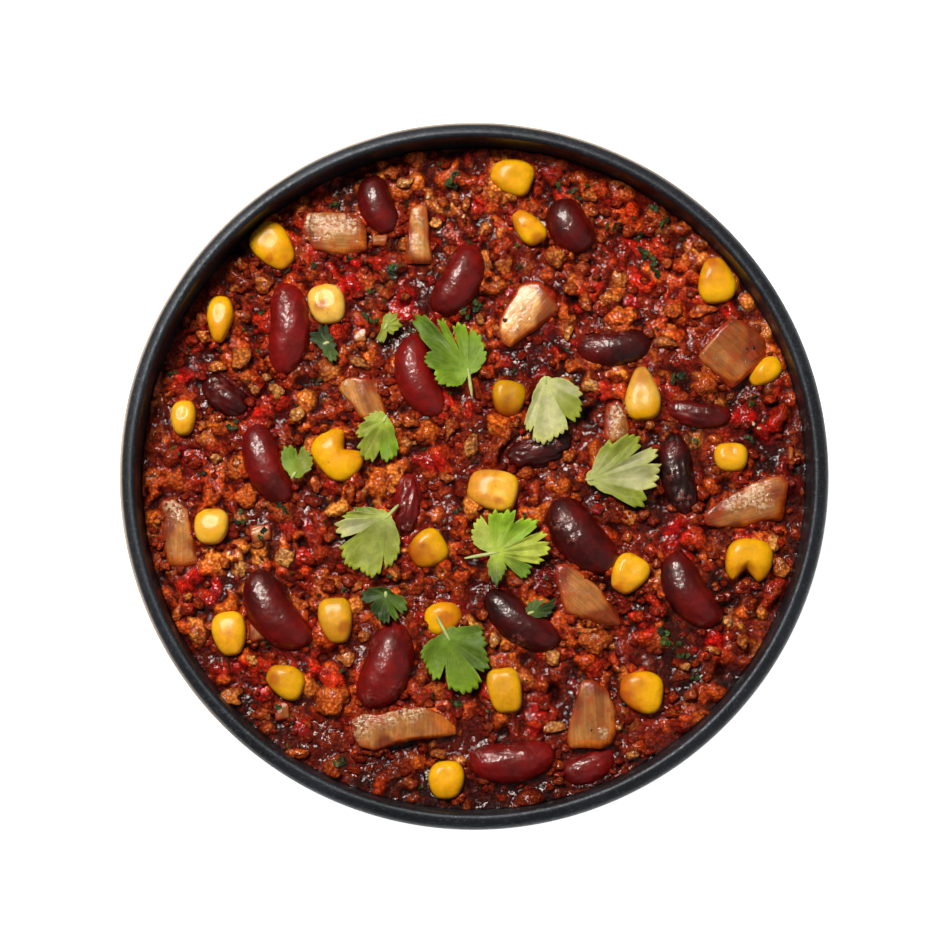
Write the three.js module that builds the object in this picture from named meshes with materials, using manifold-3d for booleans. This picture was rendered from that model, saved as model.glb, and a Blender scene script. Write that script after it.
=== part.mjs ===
// Chili con carne in a black stoneware bowl: a minced sauce with kidney beans, sweetcorn,
// pieces of onion and coriander leaves lying in it. Millimetres, +Z up. The origin is the
// middle of the foot ring, on the table.
import * as THREE from "three";
import { mergeVertices } from "three/addons/utils/BufferGeometryUtils.js";
import Module from "manifold-3d";

const wasm = await Module();
wasm.setup();

// ---------------------------------------------------------------- driving dimensions
const RIM_RADIUS = 80; // outside of the lip
const BOWL_HEIGHT = 60;
const LIP = 3.4; // thickness of the rounded lip
const CURVE_CENTRE_RADIUS = 48; // the walls are quarter ellipses about this radius
const FOOT_RADIUS = 46;
const FOOT_WIDTH = 5;
const FOOT_HEIGHT = 5;
const FOOT_RECESS = 2.5; // depth of the hollow inside the foot ring
const FOOT_CHAMFER = 0.7;
const FLOOR = 9.5; // height of the flat inner floor
const BOWL_SIDES = 48;
const ARC_STEPS = 6;

const SAUCE_LEVEL = 49.6; // mean height of the sauce
const DOME = 1.0; // how much higher the sauce stands in the middle
const GAP = 0.35; // between pieces that touch
const RINGS = 25; // rings of the sauce's uneven top
const EDGE_VIEW = 0.985; // the sauce's edge looks this far inwards for a piece beside it
const SIDE_HEIGHTS = [45, 32, 20, 13]; // rings of the sauce's side
const SWELL = 0.8; // slow waves of the sauce
const CRUMB = 1.1; // height of the minced crumbs
const TOPPING_TOP = 55.2; // nothing reaches above this, so the bowl keeps free space

const SNAP = 0.5; // share of a ring's width within which the sauce is drawn to a piece's edge
const BRIM = 1.5; // the sauce meets a bean or kernel this far below its middle
const ONION_BRIM = 1.1; // and an onion piece this far below its underside
const POCKET = 2.2; // the sauce stays this far below a piece's underside
const BESIDE = 1.06; // share of a piece's outline out to which the sauce keeps to the brim
const UNDER = 0.99; // share of a piece's outline that has the pocket under it
const BEAN_THICKNESS = 0.78; // of its width
const KERNEL_THICKNESS = 5.2;
const TIP = 0.66; // a kernel's width near its tip, as a share of its crown
const NOTCHED_TIP = 0.94;
const ONION_THICKNESS = 3.4;
const ONION_CAMBER = 0.9; // an onion piece is cupped by this
const LEAF_THICKNESS = 0.45;
const LEAF_CLEARANCE = 0.55; // of a leaf over what it lies on
const SMALL_LEAF_DEPTH = 2.2; // small leaves stand in the sauce to this depth
const LEAF_REACH = 2.6; // a leaf clears whatever stands this near below it
const LEAF_LEAST = 1.2; // least radius of a leaf about its hub
const LEAF_MIDDLE = 0.55; // where the ring between hub and outline runs

// Beans: middle x and y, heading of the long axis in degrees from +X, length, width,
// sideways bend, and height of the middle over the sauce.
const BEANS = [
  [-42.6, 34.0, 87, 21.0, 10.0, 0.6, 0.2],
  [-22.0, 62.3, -70, 13.8, 8.6, 0.3, 0.2],
  [-3.6, 44.8, 62, 18.0, 10.0, 0.5, 0.2],
  [22.2, 57.4, -60, 13.6, 10.0, 0.3, 0.2],
  [-12.5, 22.5, -71, 19.6, 9.8, 0.9, 0.1],
  [32.0, 29.6, 6, 17.2, 8.6, 0.4, 0.0],
  [-47.3, 2.6, -67, 19.4, 9.4, 0.5, -0.2],
  [-45.2, -31.0, -54, 20.6, 11.0, 0.9, 0.2],
  [-20.2, -43.3, 70, 20.4, 11.6, 0.5, 0.0],
  [8.5, -64.7, 6, 19.6, 9.8, 0.5, 0.2],
  [24.3, -13.8, -50, 20.4, 11.6, 0.6, 0.0],
  [49.0, -26.3, -57, 19.4, 10.2, 0.8, 0.1],
  [10.6, -33.2, -36, 20.0, 9.8, 0.6, -0.3],
  [15.0, 6.2, 20, 16.6, 8.6, 0.4, -1.6],
  [46.6, 0.4, -80, 19.0, 8.4, 0.3, -0.3],
  [51.2, 14.4, -8, 15.0, 6.6, 0.3, -0.2],
  [-15.5, -6.6, 84, 14.6, 7.0, 0.2, -0.2],
];

// Sweetcorn: x, y, heading from tip to crown, length, width, depth of the notch left by
// the cob, and height of the middle over the sauce.
const KERNELS = [
  [-46.0, 52.7, 135, 11.2, 9.0, 0, 0.9],
  [-58.1, 35.8, 87, 10.8, 6.0, 0, 0.9],
  [-33.6, 39.2, 100, 9.2, 8.4, 0, 0.8],
  [8.8, 68.7, -20, 9.5, 7.4, 0, 0.8],
  [12.5, 57.0, -55, 9.0, 6.2, 0, 0.8],
  [55.4, 44.9, -82, 10.6, 8.4, 0, 0.8],
  [-66.3, 13.2, 95, 7.8, 5.8, 0, 0.4],
  [-31.0, 5.0, 220, 10.4, 12.2, 3.4, 0.8],
  [7.9, 17.8, 80, 8.2, 8.0, 0, 0.2],
  [38.5, 18.8, -85, 12.4, 8.0, 0, 0.8],
  [58.6, 4.3, 90, 6.6, 7.8, 0, 0.6],
  [4.3, -3.1, -15, 11.2, 9.0, 0, 0.9],
  [-59.8, -11.6, 90, 8.0, 7.8, 0, 0.9],
  [-10.5, -16.6, 30, 8.6, 8.4, 0, 0.6],
  [62.4, -19.5, 85, 10.4, 10.8, 3.6, 0.8],
  [35.3, -22.4, 60, 9.2, 8.4, 0, 0.6],
  [-55.5, -35.9, 98, 10.0, 7.8, 0, 0.9],
  [-31.3, -32.9, 95, 10.6, 7.8, 0, 0.5],
  [-42.8, -46.7, -20, 9.0, 7.6, 0, 0.7],
  [7.0, -48.8, 97, 10.4, 7.6, 0, 0.9],
  [37.9, -49.0, -8, 10.0, 9.6, 0, 0.8],
  [-6.2, -69.0, 92, 8.6, 8.0, 0, 0.6],
];

// Onion: x, y, heading, length, widths at its two ends, sideways arc, height of the middle.
const ONIONS = [
  [-32.7, 56.0, -4, 15.0, 9.6, 9.6, 0.4, 1.4],
  [-12.8, 55.3, -88, 14.4, 3.9, 6.2, 0.2, 1.3],
  [12.2, 37.2, 47, 14.6, 6.6, 9.0, 0.8, 1.3],
  [59.0, 29.2, 51, 13.4, 10.6, 10.0, 0.2, 1.1],
  [-67.2, -13.2, 97, 14.4, 7.4, 6.4, -0.3, 0.6],
  [25.4, -28.3, -30, 14.6, 9.4, 4.2, 0.3, 0.8],
  [26.6, -53.9, -91, 15.2, 4.6, 10.6, 0.6, 1.3],
  [-16.0, -57.9, 4, 24.0, 8.4, 5.6, 1.2, 1.4],
  [62.0, -5.7, 17, 19.0, 3.8, 9.4, 0.6, 1.15],
  [-25.0, 17.4, -48, 12.0, 9.0, 7.0, 0.3, 0.6],
];

// Leaves: hub x and y, then lobes as [direction, reach, half width] in degrees and
// millimetres. The narrow lobe is the stalk.
const STALK = 9; // half width of a stalk, degrees
const LEAVES = [
  {
    hub: [-2.4, 26.0],
    lobes: [
      [-79, 7.5, STALK], [20, 5.2, 40], [62, 8.4, 32], [94, 9.6, 26], [118, 11.2, 22],
      [137, 15.2, 18], [176, 9.2, 26], [208, 7.6, 26], [240, 6.0, 26],
    ],
  },
  {
    hub: [-21.0, 12.4],
    lobes: [
      [60, 2.2, 40], [120, 2.6, 40], [176, 5.2, 30], [204, 6.8, 24], [228, 8.4, 22],
      [257, 9.4, 22], [276, 9.4, 20], [300, 7.4, 26],
    ],
  },
  {
    hub: [-40.4, 1.6],
    lobes: [[262, 1.6, 60], [150, 3.8, 34], [112, 5.4, 26], [68, 5.2, 26], [28, 4.0, 34]],
  },
  {
    hub: [16.8, 18.6],
    lobes: [
      [100, 2.4, 20], [20, 6.0, 28], [-9, 7.9, 22], [-37, 8.8, 22], [-60, 9.6, 20],
      [-86, 11.2, 20], [-120, 9.6, 20], [-142, 6.4, 28],
    ],
  },
  {
    hub: [29.4, -0.8],
    lobes: [
      [183, 4.0, STALK], [82, 8.6, 26], [61, 11.4, 18], [45, 12.6, 17], [27, 14.2, 18],
      [7, 13.6, 18], [-17, 11.8, 20], [-41, 9.2, 22],
    ],
  },
  {
    hub: [-20.2, -10.0],
    lobes: [
      [44, 4.0, STALK], [157, 7.4, 24], [176, 9.8, 18], [192, 11.8, 17], [210, 12.6, 17],
      [227, 13.8, 18], [250, 13.2, 18], [268, 11.2, 20], [294, 7.6, 28],
    ],
  },
  {
    hub: [5.8, -17.0],
    lobes: [
      [192, 8.0, STALK], [122, 8.4, 24], [97, 8.8, 20], [72, 9.0, 20], [37, 10.8, 20],
      [17, 11.2, 18], [-2, 11.4, 17], [-20, 10.2, 17], [-45, 9.0, 20], [-96, 8.0, 18],
    ],
  },
  {
    hub: [-19.6, -27.6],
    lobes: [
      [152, 4.4, 30], [182, 6.4, 24], [228, 5.2, 26], [263, 6.2, 22], [292, 6.0, 20],
      [322, 5.6, 22], [350, 4.8, 26], [70, 1.2, 60],
    ],
  },
  {
    hub: [-6.2, -36.6],
    lobes: [
      [116, 4.6, STALK], [22, 8.0, 24], [-6, 8.6, 22], [-30, 11.4, 20], [-48, 12.0, 17],
      [-66, 13.4, 17], [-88, 11.8, 18], [-110, 10.0, 20], [-135, 8.0, 22], [-165, 5.2, 30],
    ],
  },
];

// What is half sunk or small is one with the sauce.
const SUNK_BEANS = [
  [-57.0, 18.6, -38, 12.5, 8.4, 0.3, -1.9],
  [26.0, -66.0, 22, 13.0, 7.6, 0.3, -1.9],
];
const SUNK_KERNELS = [
  [66.6, 23.8, 32, 8.4, 5.6, 0, -0.2],
  [-7.0, -32.3, 200, 8.6, 7.4, 0, -0.4],
];
const SUNK_ONIONS = [[31.8, 11.4, 80, 9.6, 6.0, 5.4, 0.2, 0.0]];
const SMALL_LEAVES = [
  { hub: [-20.0, 33.6], lobes: [[66, 4.2, 34], [18, 3.6, 34], [-36, 2.6, 34], [226, 3.8, 20]] },
  { hub: [13.6, -27.4], lobes: [[60, 2.4, 34], [-30, 2.0, 50], [158, 4.2, 40], [230, 1.6, 40]] },
  { hub: [-34.0, 30.6], lobes: [[104, 4.4, 40], [30, 1.8, 50], [-56, 4.6, 36], [200, 1.8, 60]] },
];

// Lumps of meat and tomato that stand out, and deep hollows: x, y, radius, height.
const LUMPS = [
  [-48.0, 44.0, 3.0, 2.0], [18.5, 51.0, 3.2, 2.2], [26.4, 62.5, 2.6, 1.8], [52.0, 38.2, 3.6, 2.0],
  [-53.0, 27.0, 3.2, 2.0], [-59.2, 25.0, 2.8, 1.8], [-62.5, 32.0, 2.6, 1.6], [-66.0, 22.0, 2.8, 1.8],
  [-45.0, 19.4, 2.8, 1.8], [-14.5, 12.4, 2.6, 1.8], [-15.0, 8.0, 3.0, 1.8], [-29.4, -41.2, 3.2, 2.2],
  [-11.8, -45.8, 2.4, 1.8], [-32.2, -50.4, 4.6, 2.2], [-17.0, -66.8, 4.6, 1.8], [-52.2, -3.4, 3.2, 1.8],
  [-43.0, -18.6, 3.2, 1.8], [-26.5, -24.6, 2.6, 1.8], [-18.0, -22.4, 2.2, 1.8], [-5.5, 11.0, 2.4, 1.6],
  [25.6, 20.8, 3.0, 1.8], [18.6, 27.8, 3.0, 1.6], [33.2, 45.6, 3.6, 1.8], [46.2, 32.2, 3.0, 1.8],
  [35.5, -9.4, 2.6, 1.8], [46.0, -13.2, 4.4, 1.8], [18.4, -41.6, 2.8, 1.8], [28.6, -37.2, 4.0, 1.4],
  [54.4, -39.8, 2.6, 1.8], [60.8, -38.0, 2.4, 1.6], [-55.0, -50.4, 3.2, 1.8], [-48.6, -45.6, 3.6, 1.6],
  [-63.4, -22.0, 3.4, 1.6], [-16.0, 38.8, 4.0, 1.8], [-28.6, 46.0, 4.0, 1.6], [18.0, -57.2, 3.0, 1.6],
  [68.2, -15.4, 2.8, 1.6], [48.0, -54.0, 3.0, 1.6], [5.4, -37.6, 2.8, 1.6], [-48.6, -13.4, 2.8, 1.2],
];
const HOLLOWS = [
  [56.0, -43.6, 3.0, -3.0], [17.6, -49.4, 3.4, -3.0], [-34.5, -41.5, 2.6, -2.0],
  [26.6, 14.2, 3.0, -2.4], [-54.6, 52.0, 2.6, -2.0], [43.0, -5.0, 2.4, -2.4],
  [4.6, 47.0, 2.4, -2.0], [9.0, -25.4, 2.6, -2.2],
];

const COLOURS = {
  bowl: { color: 0x1b1b1d, roughness: 0.42, metalness: 0 },
  chili: { color: 0x8c2a12, roughness: 0.35, metalness: 0 },
  bean: { color: 0x4a0d10, roughness: 0.22, metalness: 0 },
  corn: { color: 0xf2b61b, roughness: 0.3, metalness: 0 },
  onion: { color: 0xc98d4e, roughness: 0.3, metalness: 0 },
  leaf: { color: 0x86a63c, roughness: 0.5, metalness: 0 },
};

// ---------------------------------------------------------------- helpers
const radians = THREE.MathUtils.degToRad;
const { lerp, clamp, smoothstep } = THREE.MathUtils;

function geometryOf(points, triangles) {
  const geometry = new THREE.BufferGeometry();
  geometry.setAttribute("position", new THREE.Float32BufferAttribute(points.flat(), 3));
  geometry.setIndex(triangles.flat());
  return geometry;
}

function merged(geometry) {
  const bare = geometry.clone();
  bare.deleteAttribute("normal");
  bare.deleteAttribute("uv");
  return mergeVertices(bare, 1e-4);
}

function solidOf(geometry) {
  const closed = merged(geometry);
  const vertProperties = closed.attributes.position.array;
  const triVerts = new Uint32Array(closed.index.array);
  return new wasm.Manifold(new wasm.Mesh({ numProp: 3, vertProperties, triVerts }));
}

function geometryFrom(solid) {
  const mesh = solid.getMesh();
  const geometry = new THREE.BufferGeometry();
  geometry.setAttribute("position", new THREE.BufferAttribute(mesh.vertProperties, 3));
  geometry.setIndex(new THREE.BufferAttribute(mesh.triVerts, 1));
  return geometry;
}

// Triangles between two closed rings of points, which may differ in number.
function stitch(lower, upper) {
  const triangles = [];
  let i = 0;
  let j = 0;
  while (i < lower.length || j < upper.length) {
    const a = lower[i % lower.length];
    const b = upper[j % upper.length];
    if (j >= upper.length || (i < lower.length && (i + 1) * upper.length <= (j + 1) * lower.length)) {
      triangles.push([a, lower[(i + 1) % lower.length], b]);
      i += 1;
    } else {
      triangles.push([a, upper[(j + 1) % upper.length], b]);
      j += 1;
    }
  }
  return triangles;
}

const fan = (middle, ring) => ring.map((p, i) => [middle, p, ring[(i + 1) % ring.length]]);

// A repeatable number from 0 to 1 for each grid cell.
function cellValue(i, j) {
  const s = Math.sin(i * 127.1 + j * 311.7 + 17) * 43758.5453;
  return s - Math.floor(s);
}

// Smooth noise from -1 to 1 with features of the given size.
function noise(x, y, size) {
  const i = Math.floor(x / size);
  const j = Math.floor(y / size);
  const u = smoothstep(x / size - i, 0, 1);
  const v = smoothstep(y / size - j, 0, 1);
  const low = lerp(cellValue(i, j), cellValue(i + 1, j), u);
  const high = lerp(cellValue(i, j + 1), cellValue(i + 1, j + 1), u);
  return 2 * lerp(low, high, v) - 1;
}

// ---------------------------------------------------------------- bowl
// A quarter ellipse of the wall, from the foot up to the lip.
function wallPoint(radius, low, step) {
  const angle = (step / ARC_STEPS) * (Math.PI / 2);
  const lipHeight = BOWL_HEIGHT - LIP / 2;
  return new THREE.Vector2(
    CURVE_CENTRE_RADIUS + (radius - CURVE_CENTRE_RADIUS) * Math.sin(angle),
    lipHeight - (lipHeight - low) * Math.cos(angle),
  );
}

const WALL_STEPS = [...Array(ARC_STEPS + 1).keys()];
const INNER_WALL = WALL_STEPS.map((k) => wallPoint(RIM_RADIUS - LIP, FLOOR, k));

// The radius of the inner wall at a height, to the flats of its facets.
function innerRadius(z) {
  const k = clamp(INNER_WALL.findIndex((point) => point.y > z), 1, ARC_STEPS);
  const [below, above] = [INNER_WALL[k - 1], INNER_WALL[k]];
  const share = clamp((z - below.y) / (above.y - below.y), 0, 1);
  return lerp(below.x, above.x, share) * Math.cos(Math.PI / BOWL_SIDES);
}

function bowlGeometry() {
  const lip = [1, 2, 3].map((k) => {
    const angle = (k / 4) * Math.PI;
    return new THREE.Vector2(
      RIM_RADIUS - LIP / 2 + (LIP / 2) * Math.cos(angle),
      BOWL_HEIGHT - LIP / 2 + (LIP / 2) * Math.sin(angle),
    );
  });
  const profile = [
    new THREE.Vector2(0, FOOT_RECESS),
    new THREE.Vector2(FOOT_RADIUS - FOOT_WIDTH, FOOT_RECESS),
    new THREE.Vector2(FOOT_RADIUS - FOOT_WIDTH + FOOT_CHAMFER, 0),
    new THREE.Vector2(FOOT_RADIUS - FOOT_CHAMFER, 0),
    new THREE.Vector2(FOOT_RADIUS, FOOT_HEIGHT - FOOT_CHAMFER),
    ...WALL_STEPS.map((k) => wallPoint(RIM_RADIUS, FOOT_HEIGHT, k)),
    ...lip,
    ...[...INNER_WALL].reverse(),
    new THREE.Vector2(0, FLOOR),
  ];
  return new THREE.LatheGeometry(profile, BOWL_SIDES).rotateX(Math.PI / 2);
}

// ---------------------------------------------------------------- toppings, each about its own middle
// A ball whose points are moved by shape(x, y, z), with its poles on the X axis.
function blob(around, along, shape) {
  const ball = merged(new THREE.SphereGeometry(1, around, along).rotateZ(-Math.PI / 2));
  const position = ball.attributes.position;
  for (let i = 0; i < position.count; i += 1) {
    const moved = shape(position.getX(i), position.getY(i), position.getZ(i));
    position.setXYZ(i, ...moved);
  }
  return ball;
}

// How a ball's cross-section at x is widened to make blunt ends.
const blunt = (x, power) => Math.max(1 - x * x, 1e-6) ** ((power - 1) / 2);

// The sideways run of a piece's middle line, x being -1 at one end and 1 at the other.
const beanSpine = (x, bend) => 2 * bend * (x * x - 0.35);
const onionSpine = (x, arc) => arc * (0.4 - x * x);

function beanGeometry([, , , length, width, bend], grow = 0) {
  const thick = (width * BEAN_THICKNESS) / 2 + grow;
  return blob(10, 7, (x, y, z) => [
    x * (length / 2 + grow),
    y * (width / 2 + grow) * blunt(x, 0.8) + beanSpine(x, bend),
    z * thick * blunt(x, 0.8),
  ]);
}

function kernelGeometry([, , , length, width, notch]) {
  const tip = notch ? NOTCHED_TIP : TIP;
  return blob(10, 6, (x, y, z) => {
    const spread = lerp(tip, 1, smoothstep(x, -1, 0.5)) * blunt(x, 0.68);
    const dent = notch * smoothstep(-x, -0.35, 1) * Math.max(1 - Math.abs(y) * 1.6, 0);
    return [
      (x * length) / 2 + dent,
      ((y * width) / 2) * spread,
      ((z * KERNEL_THICKNESS) / 2) * blunt(x, 0.75),
    ];
  });
}

function onionGeometry([, , , length, nearWidth, farWidth, arc]) {
  const slab = merged(new THREE.BoxGeometry(2, 2, 2, 4, 2, 1));
  const position = slab.attributes.position;
  for (let i = 0; i < position.count; i += 1) {
    const x = position.getX(i);
    const y = position.getY(i);
    const halfWidth = lerp(nearWidth, farWidth, (x + 1) / 2) / 2;
    position.setXYZ(
      i,
      ((x * length) / 2) * (1 - 0.1 * y * y),
      y * halfWidth * (1 - 0.08 * x ** 4) + onionSpine(x, arc),
      (position.getZ(i) * ONION_THICKNESS) / 2 + ONION_CAMBER * (0.4 - y * y),
    );
  }
  return slab;
}

// Sets a piece in the sauce by its row: x and y first, heading third, height last.
function setDown(mesh, row) {
  mesh.position.set(row[0], row[1], SAUCE_LEVEL + row.at(-1));
  mesh.rotation.z = radians(row[2]);
  mesh.updateMatrix();
  return mesh;
}

// ---------------------------------------------------------------- sauce
// Where a piece stands in the sauce: its middle, half length, widths at its two ends, how
// square its outline is, and the height and half thickness of its middle.
function seat(row, [nearWidth, farWidth], spine, power, halfThickness, brim = BRIM) {
  const turn = radians(row[2]);
  const middle = SAUCE_LEVEL + row.at(-1);
  const halfLength = row[3] / 2 + GAP;
  // A place as seen from the piece: along it, across it, and the share of the way out.
  const view = (x, y) => {
    const along = Math.cos(turn) * (x - row[0]) + Math.sin(turn) * (y - row[1]);
    const u = clamp(along / halfLength, -1, 1);
    const across = Math.cos(turn) * (y - row[1]) - Math.sin(turn) * (x - row[0]) - spine(u);
    const halfWidth = lerp(nearWidth, farWidth, (u + 1) / 2) / 2 + GAP;
    const share = ((Math.abs(along) / halfLength) ** power + (Math.abs(across) / halfWidth) ** power)
      ** (1 / power);
    return { along, across, u, share };
  };
  const point = (along, across, u) => [
    row[0] + Math.cos(turn) * along - Math.sin(turn) * (across + spine(u)),
    row[1] + Math.sin(turn) * along + Math.cos(turn) * (across + spine(u)),
  ];
  return { view, point, middle, halfThickness, brim };
}

const beanSeat = (row) =>
  seat(row, [row[4], row[4]], (u) => beanSpine(u, row[5]), 2.2, (row[4] * BEAN_THICKNESS) / 2);
const kernelSeat = (row) =>
  seat(row, [row[4] * (row[5] ? NOTCHED_TIP : TIP + 0.1), row[4]], () => 0, 2.6, KERNEL_THICKNESS / 2);
const onionSeat = (row) => {
  const halfThickness = (ONION_THICKNESS + ONION_CAMBER) / 2;
  const spine = (u) => onionSpine(u, row[6]);
  return seat(row, [row[4], row[5]], spine, 6, halfThickness, halfThickness + ONION_BRIM);
};

const SEATS = [...BEANS.map(beanSeat), ...KERNELS.map(kernelSeat), ...ONIONS.map(onionSeat)];
const SUNK_SEATS = [
  ...SUNK_BEANS.map(beanSeat),
  ...SUNK_KERNELS.map(kernelSeat),
  ...SUNK_ONIONS.map(onionSeat),
];

const bump = ([x0, y0, radius, height], x, y) =>
  height * smoothstep(1 - Math.hypot(x - x0, y - y0) / radius, 0, 1);

// Height of the uneven sauce at a place, without the pockets of the toppings.
function sauceHeight(x, y) {
  const share = Math.hypot(x, y) / innerRadius(SAUCE_LEVEL);
  const lumps = [...LUMPS, ...HOLLOWS].reduce((sum, lump) => sum + bump(lump, x, y), 0);
  const waves = SWELL * noise(x, y, 15) + CRUMB * noise(x, y, 3.3);
  return SAUCE_LEVEL + DOME * (1 - share * share) + waves + lumps;
}

// Height of the top of the food, toppings included.
function foodHeight(x, y) {
  let top = sauceHeight(x, y);
  for (const { view, middle, halfThickness } of [...SEATS, ...SUNK_SEATS]) {
    const { share } = view(x, y);
    if (share < 1) top = Math.max(top, middle + halfThickness * Math.sqrt(1 - share ** 4));
  }
  return top;
}

// A point of the sauce's top near x and y: drawn to the edge of a piece that stands there,
// or down into the pocket under it.
function saucePoint(x, y, cell) {
  let point = [x, y];
  let near = cell * SNAP;
  let brim = Infinity;
  for (const { view, point: at, middle, brim: drop } of SEATS) {
    const { along, across, u, share } = view(x, y);
    const off = Math.abs(Math.hypot(along, across) * (1 - 1 / share));
    if (off < near) {
      near = off;
      point = at(along / share, across / share, u / share);
      brim = middle - drop;
    }
  }
  return [...point, Math.min(sunk(...point, sauceHeight(...point)), brim)];
}

// A height of the sauce, lowered beside and under the pieces that stand in it.
function sunk(x, y, height) {
  let z = height;
  for (const { view, middle, halfThickness, brim } of SEATS) {
    const { share } = view(x, y);
    if (share < BESIDE) z = Math.min(z, middle - brim);
    if (share < UNDER) z = Math.min(z, middle - halfThickness - POCKET);
  }
  return z;
}

function ringOfPoints(points, count, radius, pointAt) {
  return [...Array(count).keys()].map((i) => {
    const angle = (i / count) * 2 * Math.PI;
    points.push(pointAt(radius * Math.cos(angle), radius * Math.sin(angle)));
    return points.length - 1;
  });
}

// The sauce: an uneven top on rings of 6, 12, 18 ... points, and a side that follows the
// inner wall of the bowl.
function sauceGeometry() {
  const edgeRadius = innerRadius(SAUCE_LEVEL) - GAP;
  const cell = edgeRadius / RINGS;
  const points = [saucePoint(0, 0, cell)];
  const rings = [];
  for (let k = 1; k < RINGS; k += 1) {
    rings.push(ringOfPoints(points, 6 * k, cell * k, (x, y) => saucePoint(x, y, cell)));
  }
  const triangles = fan(0, rings[0]);
  for (let k = 1; k < RINGS - 1; k += 1) triangles.push(...stitch(rings[k], rings[k - 1]));
  let above = rings.at(-1);
  const edge = (x, y) => {
    const height = SAUCE_LEVEL + SWELL * noise(x, y, 6);
    return [x, y, sunk(x * EDGE_VIEW, y * EDGE_VIEW, height)];
  };
  const sides = [
    ringOfPoints(points, 2 * BOWL_SIDES, edgeRadius, edge),
    ...SIDE_HEIGHTS.map((z) =>
      ringOfPoints(points, BOWL_SIDES, innerRadius(z) - GAP, (x, y) => [x, y, z])),
    ringOfPoints(points, BOWL_SIDES, CURVE_CENTRE_RADIUS - 1, (x, y) => [x, y, FLOOR + GAP]),
  ];
  for (const ring of sides) {
    triangles.push(...stitch(ring, above));
    above = ring;
  }
  points.push([0, 0, FLOOR + GAP]);
  triangles.push(...fan(points.length - 1, [...above].reverse()));
  return geometryOf(points, triangles);
}

// ---------------------------------------------------------------- leaves
// The outline of a leaf about its hub: the tips of its lobes and the notches between them.
function leafOutline({ lobes }) {
  const sorted = lobes.map(([angle, ...rest]) => [(angle + 360) % 360, ...rest]);
  sorted.sort((a, b) => a[0] - b[0]);
  const reachAt = (angle) => {
    let reach = LEAF_LEAST;
    for (const [middle, length, half] of sorted) {
      const off = Math.abs(((angle - middle + 540) % 360) - 180) / half;
      reach = Math.max(reach, length * Math.sqrt(Math.max(1 - off * off, 0)));
    }
    return reach;
  };
  const outline = [];
  sorted.forEach(([angle, length, half], k) => {
    const next = sorted[(k + 1) % sorted.length];
    const span = (next[0] - angle + 360) % 360;
    outline.push([angle, length]);
    if (span > half + next[2]) {
      outline.push([angle + half, reachAt(angle + half)], [next[0] - next[2] + 360, LEAF_LEAST]);
      if (span > half + next[2] + 60) outline.push([angle + span / 2, LEAF_LEAST]);
    } else {
      outline.push([angle + span / 2, reachAt(angle + span / 2)]);
    }
  });
  return outline
    .map(([angle, reach]) => [angle % 360, Math.max(reach, LEAF_LEAST)])
    .sort((a, b) => a[0] - b[0]);
}

// The height that a leaf takes at a place: over all that stands near below it.
function leafHeight(x, y) {
  let top = foodHeight(x, y);
  for (let k = 0; k < 12; k += 1) {
    const angle = (k / 12) * 2 * Math.PI;
    for (const reach of [LEAF_REACH / 2, LEAF_REACH]) {
      top = Math.max(top, foodHeight(x + reach * Math.cos(angle), y + reach * Math.sin(angle)));
    }
  }
  return Math.min(top + LEAF_CLEARANCE, TOPPING_TOP - LEAF_THICKNESS);
}

// A thin wavy leaf: hub, a ring half way out and the outline, the same above and below.
function leafGeometry(leaf, heightAt = leafHeight, thickness = LEAF_THICKNESS) {
  const outline = leafOutline(leaf);
  const [hubX, hubY] = leaf.hub;
  const layers = [
    [[0, 0]],
    outline.map(([angle, reach]) => [angle, reach * LEAF_MIDDLE]),
    outline,
  ];
  const points = [];
  const faces = [0, thickness].map((lift) =>
    layers.map((layer) =>
      layer.map(([angle, reach]) => {
        const x = hubX + reach * Math.cos(radians(angle));
        const y = hubY + reach * Math.sin(radians(angle));
        points.push([x, y, heightAt(x, y) + lift]);
        return points.length - 1;
      }),
    ),
  );
  const side = (layer) => [...fan(layer[0][0], layer[1]), ...stitch(layer[2], layer[1])];
  const [under, over] = faces;
  const flipped = side(under).map(([a, b, c]) => [a, c, b]);
  return geometryOf(points, [...side(over), ...flipped, ...stitch(under[2], over[2])]);
}

// ---------------------------------------------------------------- assembly
function material(kind) {
  return new THREE.MeshStandardMaterial(COLOURS[kind]);
}

function pieces(kind, rows, build) {
  return rows.map((row, i) => {
    const mesh = new THREE.Mesh(build(row), material(kind));
    mesh.name = `${kind}_${String(i + 1).padStart(2, "0")}`;
    return mesh;
  });
}

const placed = (kind, rows, build) =>
  pieces(kind, rows, (row) => build(row)).map((mesh, i) => setDown(mesh, rows[i]));

// Solids of pieces that are one with the sauce.
function fused(rows, build) {
  return rows.map((row) => {
    const mesh = setDown(new THREE.Mesh(build(row)), row);
    return solidOf(mesh.geometry.applyMatrix4(mesh.matrix));
  });
}

function chiliMesh() {
  const inSauce = (x, y) => sauceHeight(x, y) + LEAF_CLEARANCE - SMALL_LEAF_DEPTH;
  const pieceSolids = [
    ...fused(SUNK_BEANS, beanGeometry),
    ...fused(SUNK_KERNELS, kernelGeometry),
    ...fused(SUNK_ONIONS, onionGeometry),
    ...SMALL_LEAVES.map((leaf) => solidOf(leafGeometry(leaf, inSauce, SMALL_LEAF_DEPTH))),
  ];
  const solid = pieceSolids.reduce((joined, piece) => joined.add(piece), solidOf(sauceGeometry()));
  const mesh = new THREE.Mesh(geometryFrom(solid), material("chili"));
  mesh.name = "chili";
  return mesh;
}

function bowlMesh() {
  const mesh = new THREE.Mesh(bowlGeometry(), material("bowl"));
  mesh.name = "bowl";
  return mesh;
}

const dish = new THREE.Group();
dish.add(
  bowlMesh(),
  chiliMesh(),
  ...placed("bean", BEANS, beanGeometry),
  ...placed("corn", KERNELS, kernelGeometry),
  ...placed("onion", ONIONS, onionGeometry),
  ...pieces("leaf", LEAVES, (leaf) => leafGeometry(leaf)),
);

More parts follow.
